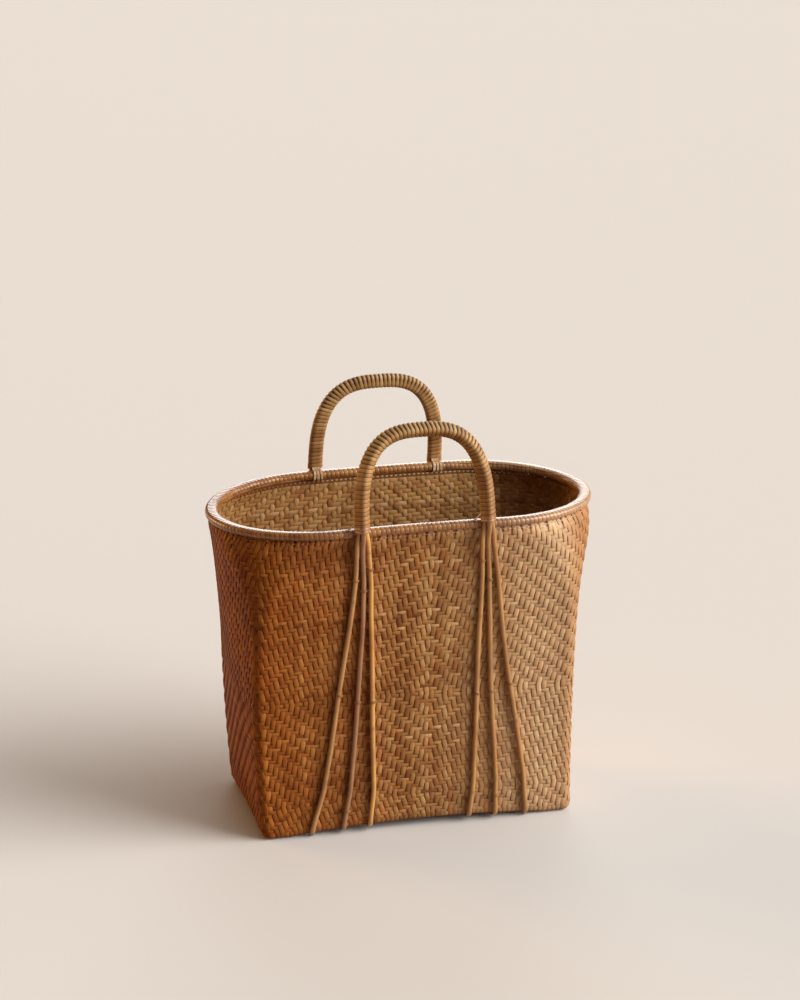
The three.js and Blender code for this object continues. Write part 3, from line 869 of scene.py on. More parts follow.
@dataclass
class Rim:
    """Two hoops and the wall's top under a close binding of thin strip."""

    form: BasketForm
    winding: CoiledStrip = CoiledStrip(
        turns=208, stations=7, around=16, depth=0.42, groove_from=0.68, camber=0.22
    )
    squareness: float = 2.6
    start_place: float = 14.0
    seed: int = 21

    def place(self, turn: Array, share: Array, sunk: Array) -> Array:
        """Finds points of the binding.

        Args:
            turn: Share of the way round the mouth.
            share: Share of the way round the rim's section.
            sunk: Depth below the strip's crown.

        Returns:
            The points.
        """
        form = self.form
        places = turn * 4 * form.quarter_uprights + self.start_place
        x, y, nx, ny = np.moveaxis(form.ring(form.wall_top, places), -1, 0)
        half_width = (form.weave_thickness + 2 * form.rim_build_up) / 2
        half_height = (form.rim_top - form.binding_bottom) / 2
        angle = share * 2 * math.pi
        across, up = (rounded(wave(angle), 2 / self.squareness) for wave in (np.cos, np.sin))
        out = (half_width - sunk) * across - form.weave_thickness / 2
        z = form.rim_top - half_height + (half_height - sunk) * up - form.end_drop(x)
        return np.stack([x + nx * out, y + ny * out, z], axis=-1)

    def build(self, binding: bpy.types.Material, hoop: bpy.types.Material) -> None:
        """Builds the binding and dresses the hoops inside it.

        Args:
            binding: The binding's finish.
            hoop: The hoops' finish.
        """
        made = self.winding.build("rim_strip_binding", self.place, self.seed)
        finish_piece(made, binding, "rim_binding")
        for name in ("rim_outer_hoop", "rim_inner_hoop"):
            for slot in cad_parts[name].material_slots:
                slot.material = hoop


@dataclass(frozen=True)
class CaneLine:
    """One cane of a handle: its place in the bundle, its fan and its ties' heights."""

    name: str
    place: int
    spread: float
    ease: float
    left_ties: tuple[tuple[str, float], ...]
    right_ties: tuple[tuple[str, float], ...]
    tone: float
    left_tone: float


@dataclass
class Handle:
    """A handle: three canes from the bottom edge up the wall, over the arch and down again,
    bound together above the rim, lashed to it and tied to the wall. It is laid as the front
    handle and then turned to its side."""

    form: BasketForm
    side: Side
    cane_radius: float = 2.6
    seat: float = 0.3
    half_span: float = 61.0
    rise: float = 92.0
    shape: float = 2.9
    lean: float = math.radians(10.5)
    arch_samples: int = 1600
    arch_length: float = 275.0
    bend_sample: float = 0.002
    floor_margin: float = 0.6
    fan_top: float = 298.0
    swing_bottom: float = 266.0
    swing_top: float = 305.0
    drift: float = 3.2
    wobble: float = 0.35
    cane_sides: int = 12
    cane_fullness: float = 0.97
    ring_pitch: float = 185.0
    ring_reach: float = 1.6
    ring_rise: float = 0.22
    end_taper: float = 24.0
    end_thinness: float = 0.3
    end_run: float = 40.0
    corner_reach: float = 3.9
    corner_radius: float = 4.0
    corner_samples: int = 24
    wrap: CoiledStrip = CoiledStrip(
        turns=62, stations=8, around=24, depth=0.65, groove_from=0.78, camber=0.12
    )
    wrap_ends: tuple[float, float] = (0.004, 0.996)
    arch_gap: float = 0.36
    collar: CoiledStrip = CoiledStrip(
        turns=2, stations=8, around=24, depth=0.65, groove_from=0.78, camber=0.12
    )
    collar_end: float = 0.0235
    lashing_rise: float = 0.3
    rim_gap: float = 0.1
    rim_strip_width: float = 2.5
    rim_strip_thickness: float = 0.5
    rim_strip_pitch: float = 2.7
    tie_width: float = 2.1
    tie_thickness: float = 0.6
    canes: tuple[CaneLine, ...] = (
        CaneLine("outer", 1, 42, 1.25, (("upper", 265), ("mid", 148)), (("mid", 144),), 0.55, 0.5),
        CaneLine(
            "middle", 0, 16, 1.8, (("upper", 254), ("mid", 139), ("low", 26)),
            (("upper", 255), ("mid", 138), ("low", 27)), 0.5, 0.2,
        ),
        CaneLine(
            "inner", -1, -6, 0.8, (("upper", 276), ("mid", 138)), (("upper", 276), ("mid", 137)), 0.6, 0.95
        ),
    )

    @property
    def pitch(self) -> float:
        """Distance between canes that lie side by side."""
        return 2 * self.cane_radius + self.seat

    @property
    def rim_offset(self) -> float:
        """Distance of the canes from the middle plane where they pass the rim."""
        return self.form.mouth_depth / 2 + self.seat + self.cane_radius

    @property
    def bundle_offset(self) -> float:
        """Distance of the bundle's centre from the middle plane at the rim's top."""
        return self.rim_offset + self.pitch / (2 * math.sqrt(3))

    def onto_side(self, points: Array) -> Array:
        """Turns points of the front handle to the handle's own side."""
        return points * np.array([self.side.way, self.side.way, 1.0])

    def node(self, leg: Leg, part: str) -> str:
        """Names a leg's part as it is seen from the front, which swaps the back handle's legs."""
        seen = Leg.RIGHT if leg.way * self.side.way > 0 else Leg.LEFT
        return f"{self.side.value}_{seen.value}_{part}"

    def arch(self, share: Array) -> tuple[Array, Array, Array]:
        """Finds the arch's centre line.

        Args:
            share: Share of its length from the left foot to the right foot.

        Returns:
            Points, directions away from the arch's middle, and the direction to the front.
        """
        angle = math.pi * (1 - np.linspace(0, 1, self.arch_samples + 1))
        line = np.stack([rounded(wave(angle), 2 / self.shape) for wave in (np.cos, np.sin)], axis=1)
        line = line * [self.half_span, self.rise]
        run = length_along(line)
        share = np.asarray(share, float)
        inside = np.clip(share, 0.0, 1.0)
        at, step = inside * run[-1], run[-1] * self.bend_sample
        ahead, behind = (places_on(line, run, np.clip(at + s, 0, run[-1])) for s in (step, -step))
        along = unit(ahead - behind)
        # Past its feet the arch goes on straight
        place = places_on(line, run, at) + along * ((share - inside) * run[-1])[..., None]
        sin, cos = math.sin(self.lean), math.cos(self.lean)
        across, up = place[..., 0], place[..., 1]
        point = np.stack([across, up * sin - self.bundle_offset, up * cos + self.form.rim_top], axis=-1)
        out = np.stack([-along[..., 1], along[..., 0] * sin, along[..., 0] * cos], axis=-1)
        return point, out, np.broadcast_to([0.0, -cos, sin], point.shape)

    def cane_depth(self, height: float) -> float:
        """Measures how far a cane's centre lies from the middle plane.

        Args:
            height: Height above the floor.

        Returns:
            The distance.
        """
        on_wall = self.form.section(height)[1] + self.seat + self.cane_radius
        share = float(smooth(height, self.swing_bottom, self.swing_top))
        return on_wall * (1 - share) + self.rim_offset * share

    def cane_point(self, cane: CaneLine, height: float) -> Array:
        """Finds the centre of a cane of the right front leg.

        Args:
            cane: The cane.
            height: Height above the floor.

        Returns:
            The point.
        """
        gather = math.radians(60) * float(smooth(height, self.fan_top, self.form.rim_top))
        fall = max(0.0, (self.fan_top - height) / self.fan_top)
        beside = cane.place * self.pitch * math.cos(gather)
        forward = self.pitch * math.sin(gather) if cane.place == 0 else 0.0
        x = self.half_span + beside + cane.spread * fall**cane.ease
        return np.array([x, -self.cane_depth(height) - forward, height])

    def drift_at(self, height: Array) -> Array:
        """How far the hand-bent canes stand to the basket's right between rim and bottom edge."""
        return self.side.way * self.drift * smooth(height, 8.0, 50.0) * (1 - smooth(height, 258.0, 302.0))

    def cane_route(self, cane: CaneLine) -> Array:
        """Lays the cane's centre line, from the right leg's lower end to the left leg's.

        Args:
            cane: The cane.

        Returns:
            The points of the line.
        """
        form = self.form
        reach = form.bottom_edge + self.seat + self.cane_radius
        x = self.cane_point(cane, form.bottom_edge)[0]
        centre = float(form.under_lift(x, form.base_depth / 2)) + form.bottom_edge
        thin = reach - self.cane_radius * (1 - 2 * self.end_thinness)
        last = math.asin(min(1.0, (centre - self.floor_margin) / thin))
        angle = np.linspace(last, 0.0, 8)
        y = form.bottom_edge - form.base_depth / 2 - reach * np.cos(angle)
        turned_in = [np.full(len(angle), self.cane_point(cane, centre)[0]), y, centre - reach * np.sin(angle)]
        up_wall = np.linspace(centre, self.swing_bottom, 17)[1:]
        past_rim = np.linspace(self.swing_bottom, form.rim_top, 9)[1:]
        rising = [self.cane_point(cane, height) for height in (*up_wall, *past_rim)]
        leg = np.concatenate([np.stack(turned_in, axis=1), rising])
        point, out, front = self.arch(1 - np.arange(1, 32) / 32)
        forward = self.pitch / math.sqrt(3) * (1.0 if cane.place == 0 else -0.5)
        arch = point + out * (cane.place * self.pitch / 2) + front * forward
        return np.concatenate([leg, arch, (leg * [-1.0, 1.0, 1.0])[::-1]])

    def build_cane(self, cane: CaneLine, material: bpy.types.Material) -> None:
        """Sweeps one cane along its route, with growth rings where the real cane has them.

        Args:
            cane: The cane.
            material: Its finish.
        """
        route = self.cane_route(cane)
        knots = length_along(route)
        ends = np.linspace(0, self.end_run, 24)
        middle = np.linspace(self.end_run, knots[-1] - self.end_run, 220)
        run = np.concatenate([ends[:-1], middle, knots[-1] - ends[-2::-1]])
        line = softened(places_on(route, knots, run))
        rng = np.random.default_rng(300 + 10 * cane.place + (5 if self.side is Side.BACK else 0))
        phase = rng.uniform(0, 2 * math.pi, 3)
        height = line[:, 2]
        fade = smooth(self.swing_bottom - height, 0, 60) * smooth(height, 12, 40)
        sway = np.sin(run / 23 + phase[0]) + np.sin(run / 41 + phase[1])
        line[:, 0] += self.wobble * sway * fade + self.drift_at(height)
        rings = np.arange(rng.uniform(20, 150), knots[-1], self.ring_pitch)
        near_ring = np.exp(-(((run[:, None] - rings) / self.ring_reach) ** 2)).sum(axis=1)
        radius = self.cane_radius * self.cane_fullness + 0.06 * np.sin(run / 31 + phase[2])
        radius = radius + self.ring_rise * near_ring
        along = unit(np.gradient(line, axis=0))
        side = unit(np.cross(along, [0.0, -1.0, 0.0]))
        away = np.cross(side, along)
        # The ends are flattened towards the wall, so that they lie flat under the edge
        left_over = np.minimum(run, knots[-1] - run)
        thin = self.end_thinness + (1 - self.end_thinness) * smooth(left_over, 0.0, self.end_taper)
        outward = np.sign(away @ [0.0, -1.0, -0.2])[:, None] * away
        line = line - outward * (radius * (1 - thin))[:, None]
        angle = np.arange(self.cane_sides) / self.cane_sides * 2 * math.pi
        depth = away[:, None] * (np.sin(angle) * thin[:, None])[..., None]
        spoke = side[:, None] * np.cos(angle)[:, None] + depth
        points = line[:, None] + spoke * radius[:, None, None]
        index = np.arange(points.size // 3).reshape(1, -1, self.cane_sides)
        faces = [ring_faces(index), np.stack([index[0, 0, ::-1], index[0, -1]])]
        left = smooth(run / knots[-1], 0.4, 0.6)
        # Here the channel of painted shade holds the cane's own darker growth rings
        values = {
            "fibre": (np.cos(angle) * self.cane_radius, run[:, None], np.sin(angle) * self.cane_radius),
            "tone": (cane.tone * (1 - left) + cane.left_tone * left)[:, None],
            "dive": np.clip(near_ring, 0, 1)[:, None],
        }
        made = add_object(f"{self.side.value}_{cane.name}_cane", self.onto_side(points), faces, values)
        finish_piece(made, material, f"{self.side.value}_handle_{cane.name}_cane")

    def core_outline(self, share: Array) -> Array:
        """Places round the bundle: a rounded triangle with one corner to the front.

        Args:
            share: Share of the way round, from the side that is turned away from the photograph's
                camera, so that the strips start there.

        Returns:
            Places along the direction away from the arch's middle, and along the front one.
        """
        corner = np.radians([[90.0], [210.0], [330.0]])
        angle = corner + np.linspace(-math.pi / 3, math.pi / 3, self.corner_samples)
        reach, radius = self.corner_reach, self.corner_radius
        sides = [reach * wave(corner) + radius * wave(angle) for wave in (np.cos, np.sin)]
        skipped = 2 * self.corner_samples if self.side is Side.FRONT else self.corner_samples // 2
        outline = np.roll(np.stack(sides, axis=-1).reshape(-1, 2), -skipped, axis=0)
        outline = np.concatenate([outline, outline[:1]])
        run = length_along(outline)
        return np.moveaxis(places_on(outline, run, share * run[-1]), -1, 0)

    def wrap_gap(self, turn: Array, share: Array) -> Array:
        """Says how far the wrap's turns stand apart: most on the outer side of the bent arch.

        Args:
            turn: Share of the way along the wrap.
            share: Share of the way round the bundle.

        Returns:
            The gaps, as shares of half a strip.
        """
        outside, forward = self.core_outline(share)
        outer = np.clip(outside / np.hypot(outside, forward) + 0.3, 0.0, 1.0)
        return self.arch_gap * outer * smooth(turn, 0.16, 0.34) * (1 - smooth(turn, 0.66, 0.84))

    def wrap_place(self, ends: tuple[float, float], rise: float = 0.0, behind: float = 0.0) -> Callable:
        """Makes the function that places a winding round the bundle.

        Args:
            ends: Shares of the arch where it starts and ends.
            rise: How far it lies over what is under it.
            behind: Distance from the middle plane that the winding's back doesn't pass.

        Returns:
            A function of the turn, the share round the bundle and the sunk depth.
        """

        def place(turn: Array, share: Array, sunk: Array) -> Array:
            """Finds points of the winding.

            Args:
                turn: Share of the way along the winding.
                share: Share of the way round the bundle.
                sunk: Depth below the strip's crown.

            Returns:
                The points.
            """
            point, out, front = self.arch(ends[0] + (ends[1] - ends[0]) * turn)
            outside, forward = self.core_outline(share)
            size = np.hypot(outside, forward)
            shrink = (size - sunk + rise) / size
            points = point + out * (outside * shrink)[..., None] + front * (forward * shrink)[..., None]
            points[..., 1] = np.minimum(points[..., 1], -behind)
            return self.onto_side(points)

        return place

    def build_wrap(self, material: bpy.types.Material) -> None:
        """Builds the strip wound round the three canes above the rim.

        Args:
            material: Its finish.
        """
        seed = 31 if self.side is Side.FRONT else 32
        name = f"{self.side.value}_wound_strip"
        made = self.wrap.build(name, self.wrap_place(self.wrap_ends), seed, self.wrap_gap)
        finish_piece(made, material, f"{self.side.value}_handle_wrap")

    def build_lashings(self, material: bpy.types.Material) -> None:
        """Builds each leg's lashing: the last turns round the canes and strips over the rim.

        Args:
            material: Their finish.
        """
        for leg, depth, seed in ((Leg.LEFT, 3.0, 51), (Leg.RIGHT, 0.5, 52)):
            node = self.node(leg, "leg_lashing")
            low, high = -depth / self.arch_length, self.collar_end
            ends = (low, high) if leg is Leg.LEFT else (1.0 - high, 1.0 - low)
            place = self.wrap_place(ends, self.lashing_rise, self.form.mouth_depth / 2 + self.rim_gap)
            pieces = [self.collar.build(f"{node}_turns", place, seed), self.rim_strips(f"{node}_strips", leg)]
            if self.side is Side.FRONT:
                pieces.append(self.curled_strand(leg).build(f"{node}_strand", 61))
            for piece in pieces:
                finish_piece(piece, material, node)

    def curled_strand(self, leg: Leg) -> StripSet:
        """Lays the end of the rim's strand, which curls up from the rim's top to the leg's left side.

        Args:
            leg: The leg.

        Returns:
            The strand.
        """
        middle = leg.way * self.half_span
        foot = [middle, -self.form.mouth_depth / 2 - 1.2, self.form.rim_top - self.form.end_drop(middle)]
        # Left of the leg, behind the rim's front and above its top
        left = [15.5, 12.4, 10.6, 9.2, 7.8, 6.0]
        route = np.array([left, [4.6, 4.2, 3.2, 2.0, 0.8, 0.4], [0.1, 0.5, 2.0, 4.2, 6.4, 8.2]]).T
        bend = softened(places_on(route, np.arange(len(route)), np.linspace(0, len(route) - 1, 16)))
        line = self.onto_side(foot + bend * [-1.0, 1.0, 1.0])
        facing = self.onto_side(np.tile([-0.2, -0.1, 1.0], (len(line), 1)))
        ones = np.ones((1, len(line)))
        return StripSet(line[None], facing[None], 2.4 * ones, 1.1, ones, 0 * ones)

    def rim_strips(self, name: str, leg: Leg) -> bpy.types.Object:
        """Models the three strips that go from a leg over the rim and under its inner edge.

        Args:
            name: The piece's name.
            leg: The leg.

        Returns:
            The piece.
        """
        form = self.form
        outer = -form.mouth_depth / 2
        inner = outer + form.weave_thickness + 2 * form.rim_build_up
        drop = float(form.end_drop(self.half_span))
        top, bottom = form.rim_top - drop, form.binding_bottom - drop
        # How far the strips fan out, and their places from the leg to the wall's inner side
        route = [
            (0.9, outer + 0.6, top + 2.4), (1.0, outer + 2.2, top + 0.55), (1.1, inner - 2.0, top + 0.45),
            (1.2, inner + 0.45, top - 1.6), (1.35, inner + 0.55, bottom + 1.5),
            (1.4, inner - 1.0, bottom - 0.7), (1.4, inner - 4.2, bottom - 1.2),
        ]
        made = []
        for number, spread in enumerate((-1.0, 0.0, 1.0)):
            beside = spread * self.rim_strip_pitch
            places = [Vector((leg.way * self.half_span + beside * fan, y, z)) * MM for fan, y, z in route]
            deselect_all()
            bpy.ops.mesh.primitive_plane_add(size=self.rim_strip_width * MM, location=places[0])
            strip = bpy.context.active_object
            bpy.ops.object.transform_apply(location=True, rotation=False, scale=False)
            start = places[0].y
            for vertex in strip.data.vertices:
                vertex.co.y = start if vertex.co.y > start else start - 0.4 * MM
            bpy.ops.object.mode_set(mode="EDIT")
            select_edges(strip, lambda edge: all(abs(v.co.y - start) < 1e-6 for v in edge.verts))
            for here, ahead in zip(places, places[1:]):
                bpy.ops.mesh.extrude_region_move(TRANSFORM_OT_translate={"value": ahead - here})
            bpy.ops.object.mode_set(mode="OBJECT")
            apply_modifiers(
                strip,
                ("thickness", "SOLIDIFY", {"thickness": self.rim_strip_thickness * MM, "offset": 0.0}),
                ("worn edge", "BEVEL", {"width": 0.12 * MM}),
                ("soft bend", "SUBSURF", {"levels": 2, "render_levels": 2}),
            )
            self.mark(strip, 0.62 + 0.1 * number)
            made.append(strip)
        deselect_all()
        for strip in made:
            strip.select_set(True)
        bpy.context.view_layer.objects.active = made[0]
        bpy.ops.object.join()
        joined = bpy.context.active_object
        joined.name = joined.data.name = name
        if self.side is Side.BACK:
            joined.data.transform(TO_THE_BACK)
        bpy.ops.object.shade_smooth()
        return joined

    @staticmethod
    def mark(piece: bpy.types.Object, tone: float) -> None:
        """Keeps a tone and fibre places on a modelled piece.

        Args:
            piece: The piece.
            tone: Its tone.
        """
        where = np.empty(len(piece.data.vertices) * 3, np.float32)
        piece.data.vertices.foreach_get("co", where)
        x, y, z = where.reshape(-1, 3).T / MM
        keep_values(piece.data, x.shape, {"fibre": (x, z + y, y), "tone": tone, "dive": 0.0})

    def tie_master(self) -> bpy.types.Object:
        """Models one tie as by hand: half a tube over the cane with two feet on the wall.

        Returns:
            The tie.
        """
        outer = (self.cane_radius + self.seat + self.tie_thickness) * MM
        deselect_all()
        bpy.ops.mesh.primitive_cylinder_add(
            vertices=20, radius=outer, depth=self.tie_width * MM, end_fill_type="NOTHING", location=(0, 0, 0)
        )
        tie = bpy.context.active_object
        tie.name = "tie_master"
        bpy.ops.object.mode_set(mode="EDIT")
        bpy.ops.mesh.select_all(action="SELECT")
        bpy.ops.mesh.bisect(plane_co=(0, 0, 0), plane_no=(0, 1, 0), clear_inner=True)
        upright = 0.5 * self.tie_width * MM
        select_edges(
            tie,
            lambda edge: abs(edge.verts[0].co.z - edge.verts[1].co.z) > upright
            and all(abs(v.co.y) < 1e-6 for v in edge.verts),
        )
        bpy.ops.mesh.extrude_region_move(TRANSFORM_OT_translate={"value": (0, -self.cane_radius * MM, 0)})
        bpy.ops.object.mode_set(mode="OBJECT")
        apply_modifiers(
            tie,
            ("thickness", "SOLIDIFY", {"thickness": self.tie_thickness * MM, "offset": -1.0}),
            ("worn edge", "BEVEL", {"width": 0.14 * MM, "segments": 2}),
        )
        bpy.ops.object.shade_smooth_by_angle(angle=math.radians(35))
        return tie

    def tie_basis(self, cane: CaneLine, leg: Leg, height: float) -> Matrix:
        """Finds how a tie lies on its cane.

        Args:
            cane: The cane.
            leg: The leg.
            height: Height above the floor.

        Returns:
            The turn and place of the tie.
        """
        mirror = np.array([leg.way, 1.0, 1.0])
        centre = self.cane_point(cane, height) * mirror
        centre[0] += float(self.drift_at(height))
        along = unit((self.cane_point(cane, height + 1) - self.cane_point(cane, height - 1)) * mirror)
        side = unit(np.cross([0.0, -1.0, 0.0], along))
        basis = Matrix(np.column_stack([side, np.cross(along, side), along]).tolist()).to_4x4()
        basis.translation = Vector(centre) * MM
        return basis if self.side is Side.FRONT else TO_THE_BACK @ basis

    def build_ties(self, material: bpy.types.Material) -> None:
        """Copies the tie onto every place where a cane is tied to the wall.

        Args:
            material: Their finish.
        """
        master = self.tie_master()
        for cane in self.canes:
            for leg, ties in ((Leg.LEFT, cane.left_ties), (Leg.RIGHT, cane.right_ties)):
                for number, (level, height) in enumerate(ties):
                    node = self.node(leg, f"{cane.name}_cane_{level}_tie")
                    tie = bpy.data.objects.new(f"{node}_strip", master.data.copy())
                    bpy.context.scene.collection.objects.link(tie)
                    feet = self.cane_depth(height) - self.form.section(height)[1] - self.seat
                    for vertex in tie.data.vertices:
                        if vertex.co.y < 0:
                            vertex.co.y *= feet / self.cane_radius
                    tie.data.transform(self.tie_basis(cane, leg, height))
                    self.mark(tie, 0.25 + 0.12 * ((number + cane.place) % 3))
                    finish_piece(tie, material, node)
        bpy.data.objects.remove(master)

    def build(self, finishes: dict[Slot, bpy.types.Material]) -> None:
        """Builds and dresses the whole handle.

        Args:
            finishes: The finish of each slot.
        """
        for cane in self.canes:
            self.build_cane(cane, finishes[Slot.CANE])
        self.build_wrap(finishes[Slot.WRAP])
        self.build_lashings(finishes[Slot.LASHING])
        self.build_ties(finishes[Slot.TIE])


def linear(colour: str) -> tuple[float, float, float, float]:
    """Turns an sRGB hex colour to linear light, with full opacity."""
    parts = [int(colour[i : i + 2], 16) / 255 for i in (1, 3, 5)]
    return (*[v / 12.92 if v <= 0.04045 else ((v + 0.055) / 1.055) ** 2.4 for v in parts], 1.0)


def empty_tree(owner: Any) -> bpy.types.NodeTree:
    """Gives a material or a world an empty node tree.

    Args:
        owner: The material or the world.

    Returns:
        The tree.
    """
    owner.use_nodes = True
    owner.node_tree.nodes.clear()
    return owner.node_tree


def add_node(
    tree: bpy.types.NodeTree, kind: str, settings: dict[str, Any], inputs: dict[str | int, Any]
) -> bpy.types.Node:
    """Adds a node with its settings and links.

    Args:
        tree: The node tree.
        kind: The node's type, after "ShaderNode".
        settings: Its properties; "stops" holds a ramp's places and colours.
        inputs: Values or hex colours for its sockets, or the output sockets that they are
            linked to.

    Returns:
        The node.
    """
    node = tree.nodes.new(f"ShaderNode{kind}")
    for key, value in settings.items():
        if key == "stops":
            elements = node.color_ramp.elements
            while len(elements) < len(value):
                elements.new(0.5)
            for element, (place, _) in zip(elements, value):
                element.position = place
            for element, (_, colour) in zip(elements, value):
                element.color = linear(colour)
        else:
            setattr(node, key, value)
    for key, value in inputs.items():
        if isinstance(value, bpy.types.NodeSocket):
            tree.links.new(value, node.inputs[key])
        else:
            node.inputs[key].default_value = linear(value) if isinstance(value, str) else value
    return node


@dataclass(frozen=True)
class PlantFinish:
    """A finish of split or round cane and bamboo, aged by use.

    The tone of each strip picks its colour, fibres run along it, and a patina lies over the whole
    basket in patches. Painted shade deepens the colour where a strip dives or two turns meet, and
    the same colour marks the canes' growth rings. Painted shade also darkens the left, the inside
    and the handle's legs, painted light makes the right paler, and the right end's outside is
    darker again. Fibres have a width and a length in millimetres and a strength; the painted shade
    and rings and the patina have a colour and a strength; roughness goes from the one value to the other.
    """

    name: str
    stops: tuple[tuple[float, str], ...]
    fibre: tuple[float, float, float]
    dive: tuple[str, float]
    patina: tuple[str, float]
    rough: tuple[float, float]
    coat: float = 0.0
    bump: float = 0.2
    specular: float = 0.5
    hue_strength: float = 0.3
    painted_left_shade: float = 0.0
    painted_right_light: float = 0.0
    inside_shade_and_end_darkening: float = 0.0
    leg_shade: float = 0.0

    def build(self) -> bpy.types.Material:
        """Builds the material's nodes.

        Returns:
            The material.
        """
        material = bpy.data.materials.new(self.name)
        tree = empty_tree(material)
        fibre, tone, dive, outside = (
            add_node(tree, "Attribute", {"attribute_name": name}, {})
            for name in ("fibre", "tone", "dive", "outside")
        )
        place = add_node(tree, "TexCoord", {}, {}).outputs["Object"]
        width, length, strength = self.fibre
        noises = []
        # The fine grain, and hues that drift over about 60 mm of each strip: some went mauve, some orange
        fine, long = (1 / width, 1 / length, 0.37), (0.0, 1 / 60, 0.37)
        for scale, detail, rough in ((fine, 3.0, 0.6), (long, 1.0, 0.5)):
            stretched = add_node(
                tree, "VectorMath", {"operation": "MULTIPLY"}, {0: fibre.outputs["Vector"], 1: scale}
            )
            noise = {"Vector": stretched.outputs[0], "Scale": 1.0, "Detail": detail, "Roughness": rough}
            noises.append(add_node(tree, "TexNoise", {}, noise).outputs["Fac"])
        grain, drifted = noises
        # Patches about 40 mm wide: where hands and light have darkened the basket
        patches = add_node(
            tree, "TexNoise", {}, {"Vector": place, "Scale": 25.0, "Detail": 3.0, "Roughness": 0.55}
        )
        drift = add_node(
            tree, "Math", {"operation": "MULTIPLY_ADD"}, {0: grain, 1: strength, 2: -strength / 2}
        )
        toned = add_node(
            tree, "Math", {"operation": "ADD", "use_clamp": True},
            {0: tone.outputs["Fac"], 1: drift.outputs[0]},
        )
        colour = add_node(tree, "ValToRGB", {"stops": self.stops}, {"Fac": toned.outputs[0]}).outputs["Color"]
        hues = add_node(
            tree, "ValToRGB", {"stops": ((0.34, "#c8a49c"), (0.5, "#ffffff"), (0.68, "#f6c49c"))},
            {"Fac": drifted},
        )
        # Inside, painted shade makes the strips a little darker, and their hues and painted shade at the
        # dives are calmer
        inside = add_node(
            tree, "Math", {"operation": "MULTIPLY_ADD"},
            {0: outside.outputs["Fac"], 1: -self.inside_shade_and_end_darkening, 2: self.inside_shade_and_end_darkening},
        ).outputs[0]
        hue_share, shallow = (
            add_node(tree, "Math", {"operation": "MULTIPLY_ADD"}, {0: inside, 1: -share / 2, 2: share})
            for share in (self.hue_strength, self.dive[1])
        )
        # Painted shade where a strip dives and in the grooves between turns, weaker inside, and the canes'
        # darker growth rings
        sunk = add_node(
            tree, "Math", {"operation": "MULTIPLY", "use_clamp": True},
            {0: dive.outputs["Fac"], 1: shallow.outputs[0]},
        )
        across = add_node(tree, "SeparateXYZ", {}, {0: place}).outputs
        # Where each change of colour starts and is full, in metres, and how strong it is. The patina
        # comes by the patches instead.
        reaches = (
            (patches.outputs["Fac"], 0.4, 0.72, self.patina[1]),
            (across["Z"], 0.395, 0.345, self.leg_shade),
            (across["X"], 0.09, -0.17, self.painted_left_shade),
            (across["X"], 0.0, 0.15, self.painted_right_light),
            (across["X"], 0.13, 0.17, self.inside_shade_and_end_darkening),
        )
        spread, leg, left, right, end = (
            add_node(
                tree, "MapRange", {"interpolation_type": "SMOOTHSTEP"},
                {"Value": value, "From Min": start, "From Max": full, "To Min": 0.0, "To Max": most},
            )
            for value, start, full, most in reaches
        )
        left, right, end = (
            add_node(
                tree, "Math", {"operation": "MULTIPLY"}, {0: reach.outputs[0], 1: outside.outputs["Fac"]}
            )
            for reach in (left, right, end)
        )
        layers = (
            (spread.outputs[0], "MULTIPLY", self.patina[0]),
            (hue_share.outputs[0], "MULTIPLY", hues.outputs["Color"]),
            # Painted shade on the inside
            (inside, "MULTIPLY", "#f0e6da"),
            # Painted shade makes the handle's legs darker than its grip
            (leg.outputs[0], "MULTIPLY", "#c8a888"),
            # Painted shade darkens the left, and painted light makes the right paler
            (left.outputs[0], "MULTIPLY", "#d6a260"),
            # Painted light: towards the right the colour is mixed paler
            (right.outputs[0], "MIX", "#e0c09a"),
            # The outside of the right end, which faces the window lamp, is darker; this takes back part of
            # the painted light of the right side there
            (end.outputs[0], "MULTIPLY", "#d4b89c"),
            # Last, the painted shade of dives and grooves, and the growth rings
            (sunk.outputs[0], "MIX", self.dive[0]),
        )
        for share, blend, tint in layers:
            colour = add_node(
                tree, "Mix", {"data_type": "RGBA", "blend_type": blend}, {"Factor": share, 6: colour, 7: tint}
            ).outputs[2]
        rough = add_node(
            tree, "MapRange", {},
            {"Value": grain, "From Min": 0.3, "From Max": 0.7,
             "To Min": self.rough[0], "To Max": self.rough[1]},
        )
        bump = add_node(tree, "Bump", {}, {"Height": grain, "Strength": self.bump, "Distance": 0.0002})
        shader = add_node(
            tree, "BsdfPrincipled", {},
            {"Base Color": colour, "Roughness": rough.outputs[0], "Normal": bump.outputs[0], "IOR": 1.5,
             "Specular IOR Level": self.specular, "Coat Weight": self.coat, "Coat Roughness": 0.15},
        )
        add_node(tree, "OutputMaterial", {}, {"Surface": shader.outputs[0]})
        return material


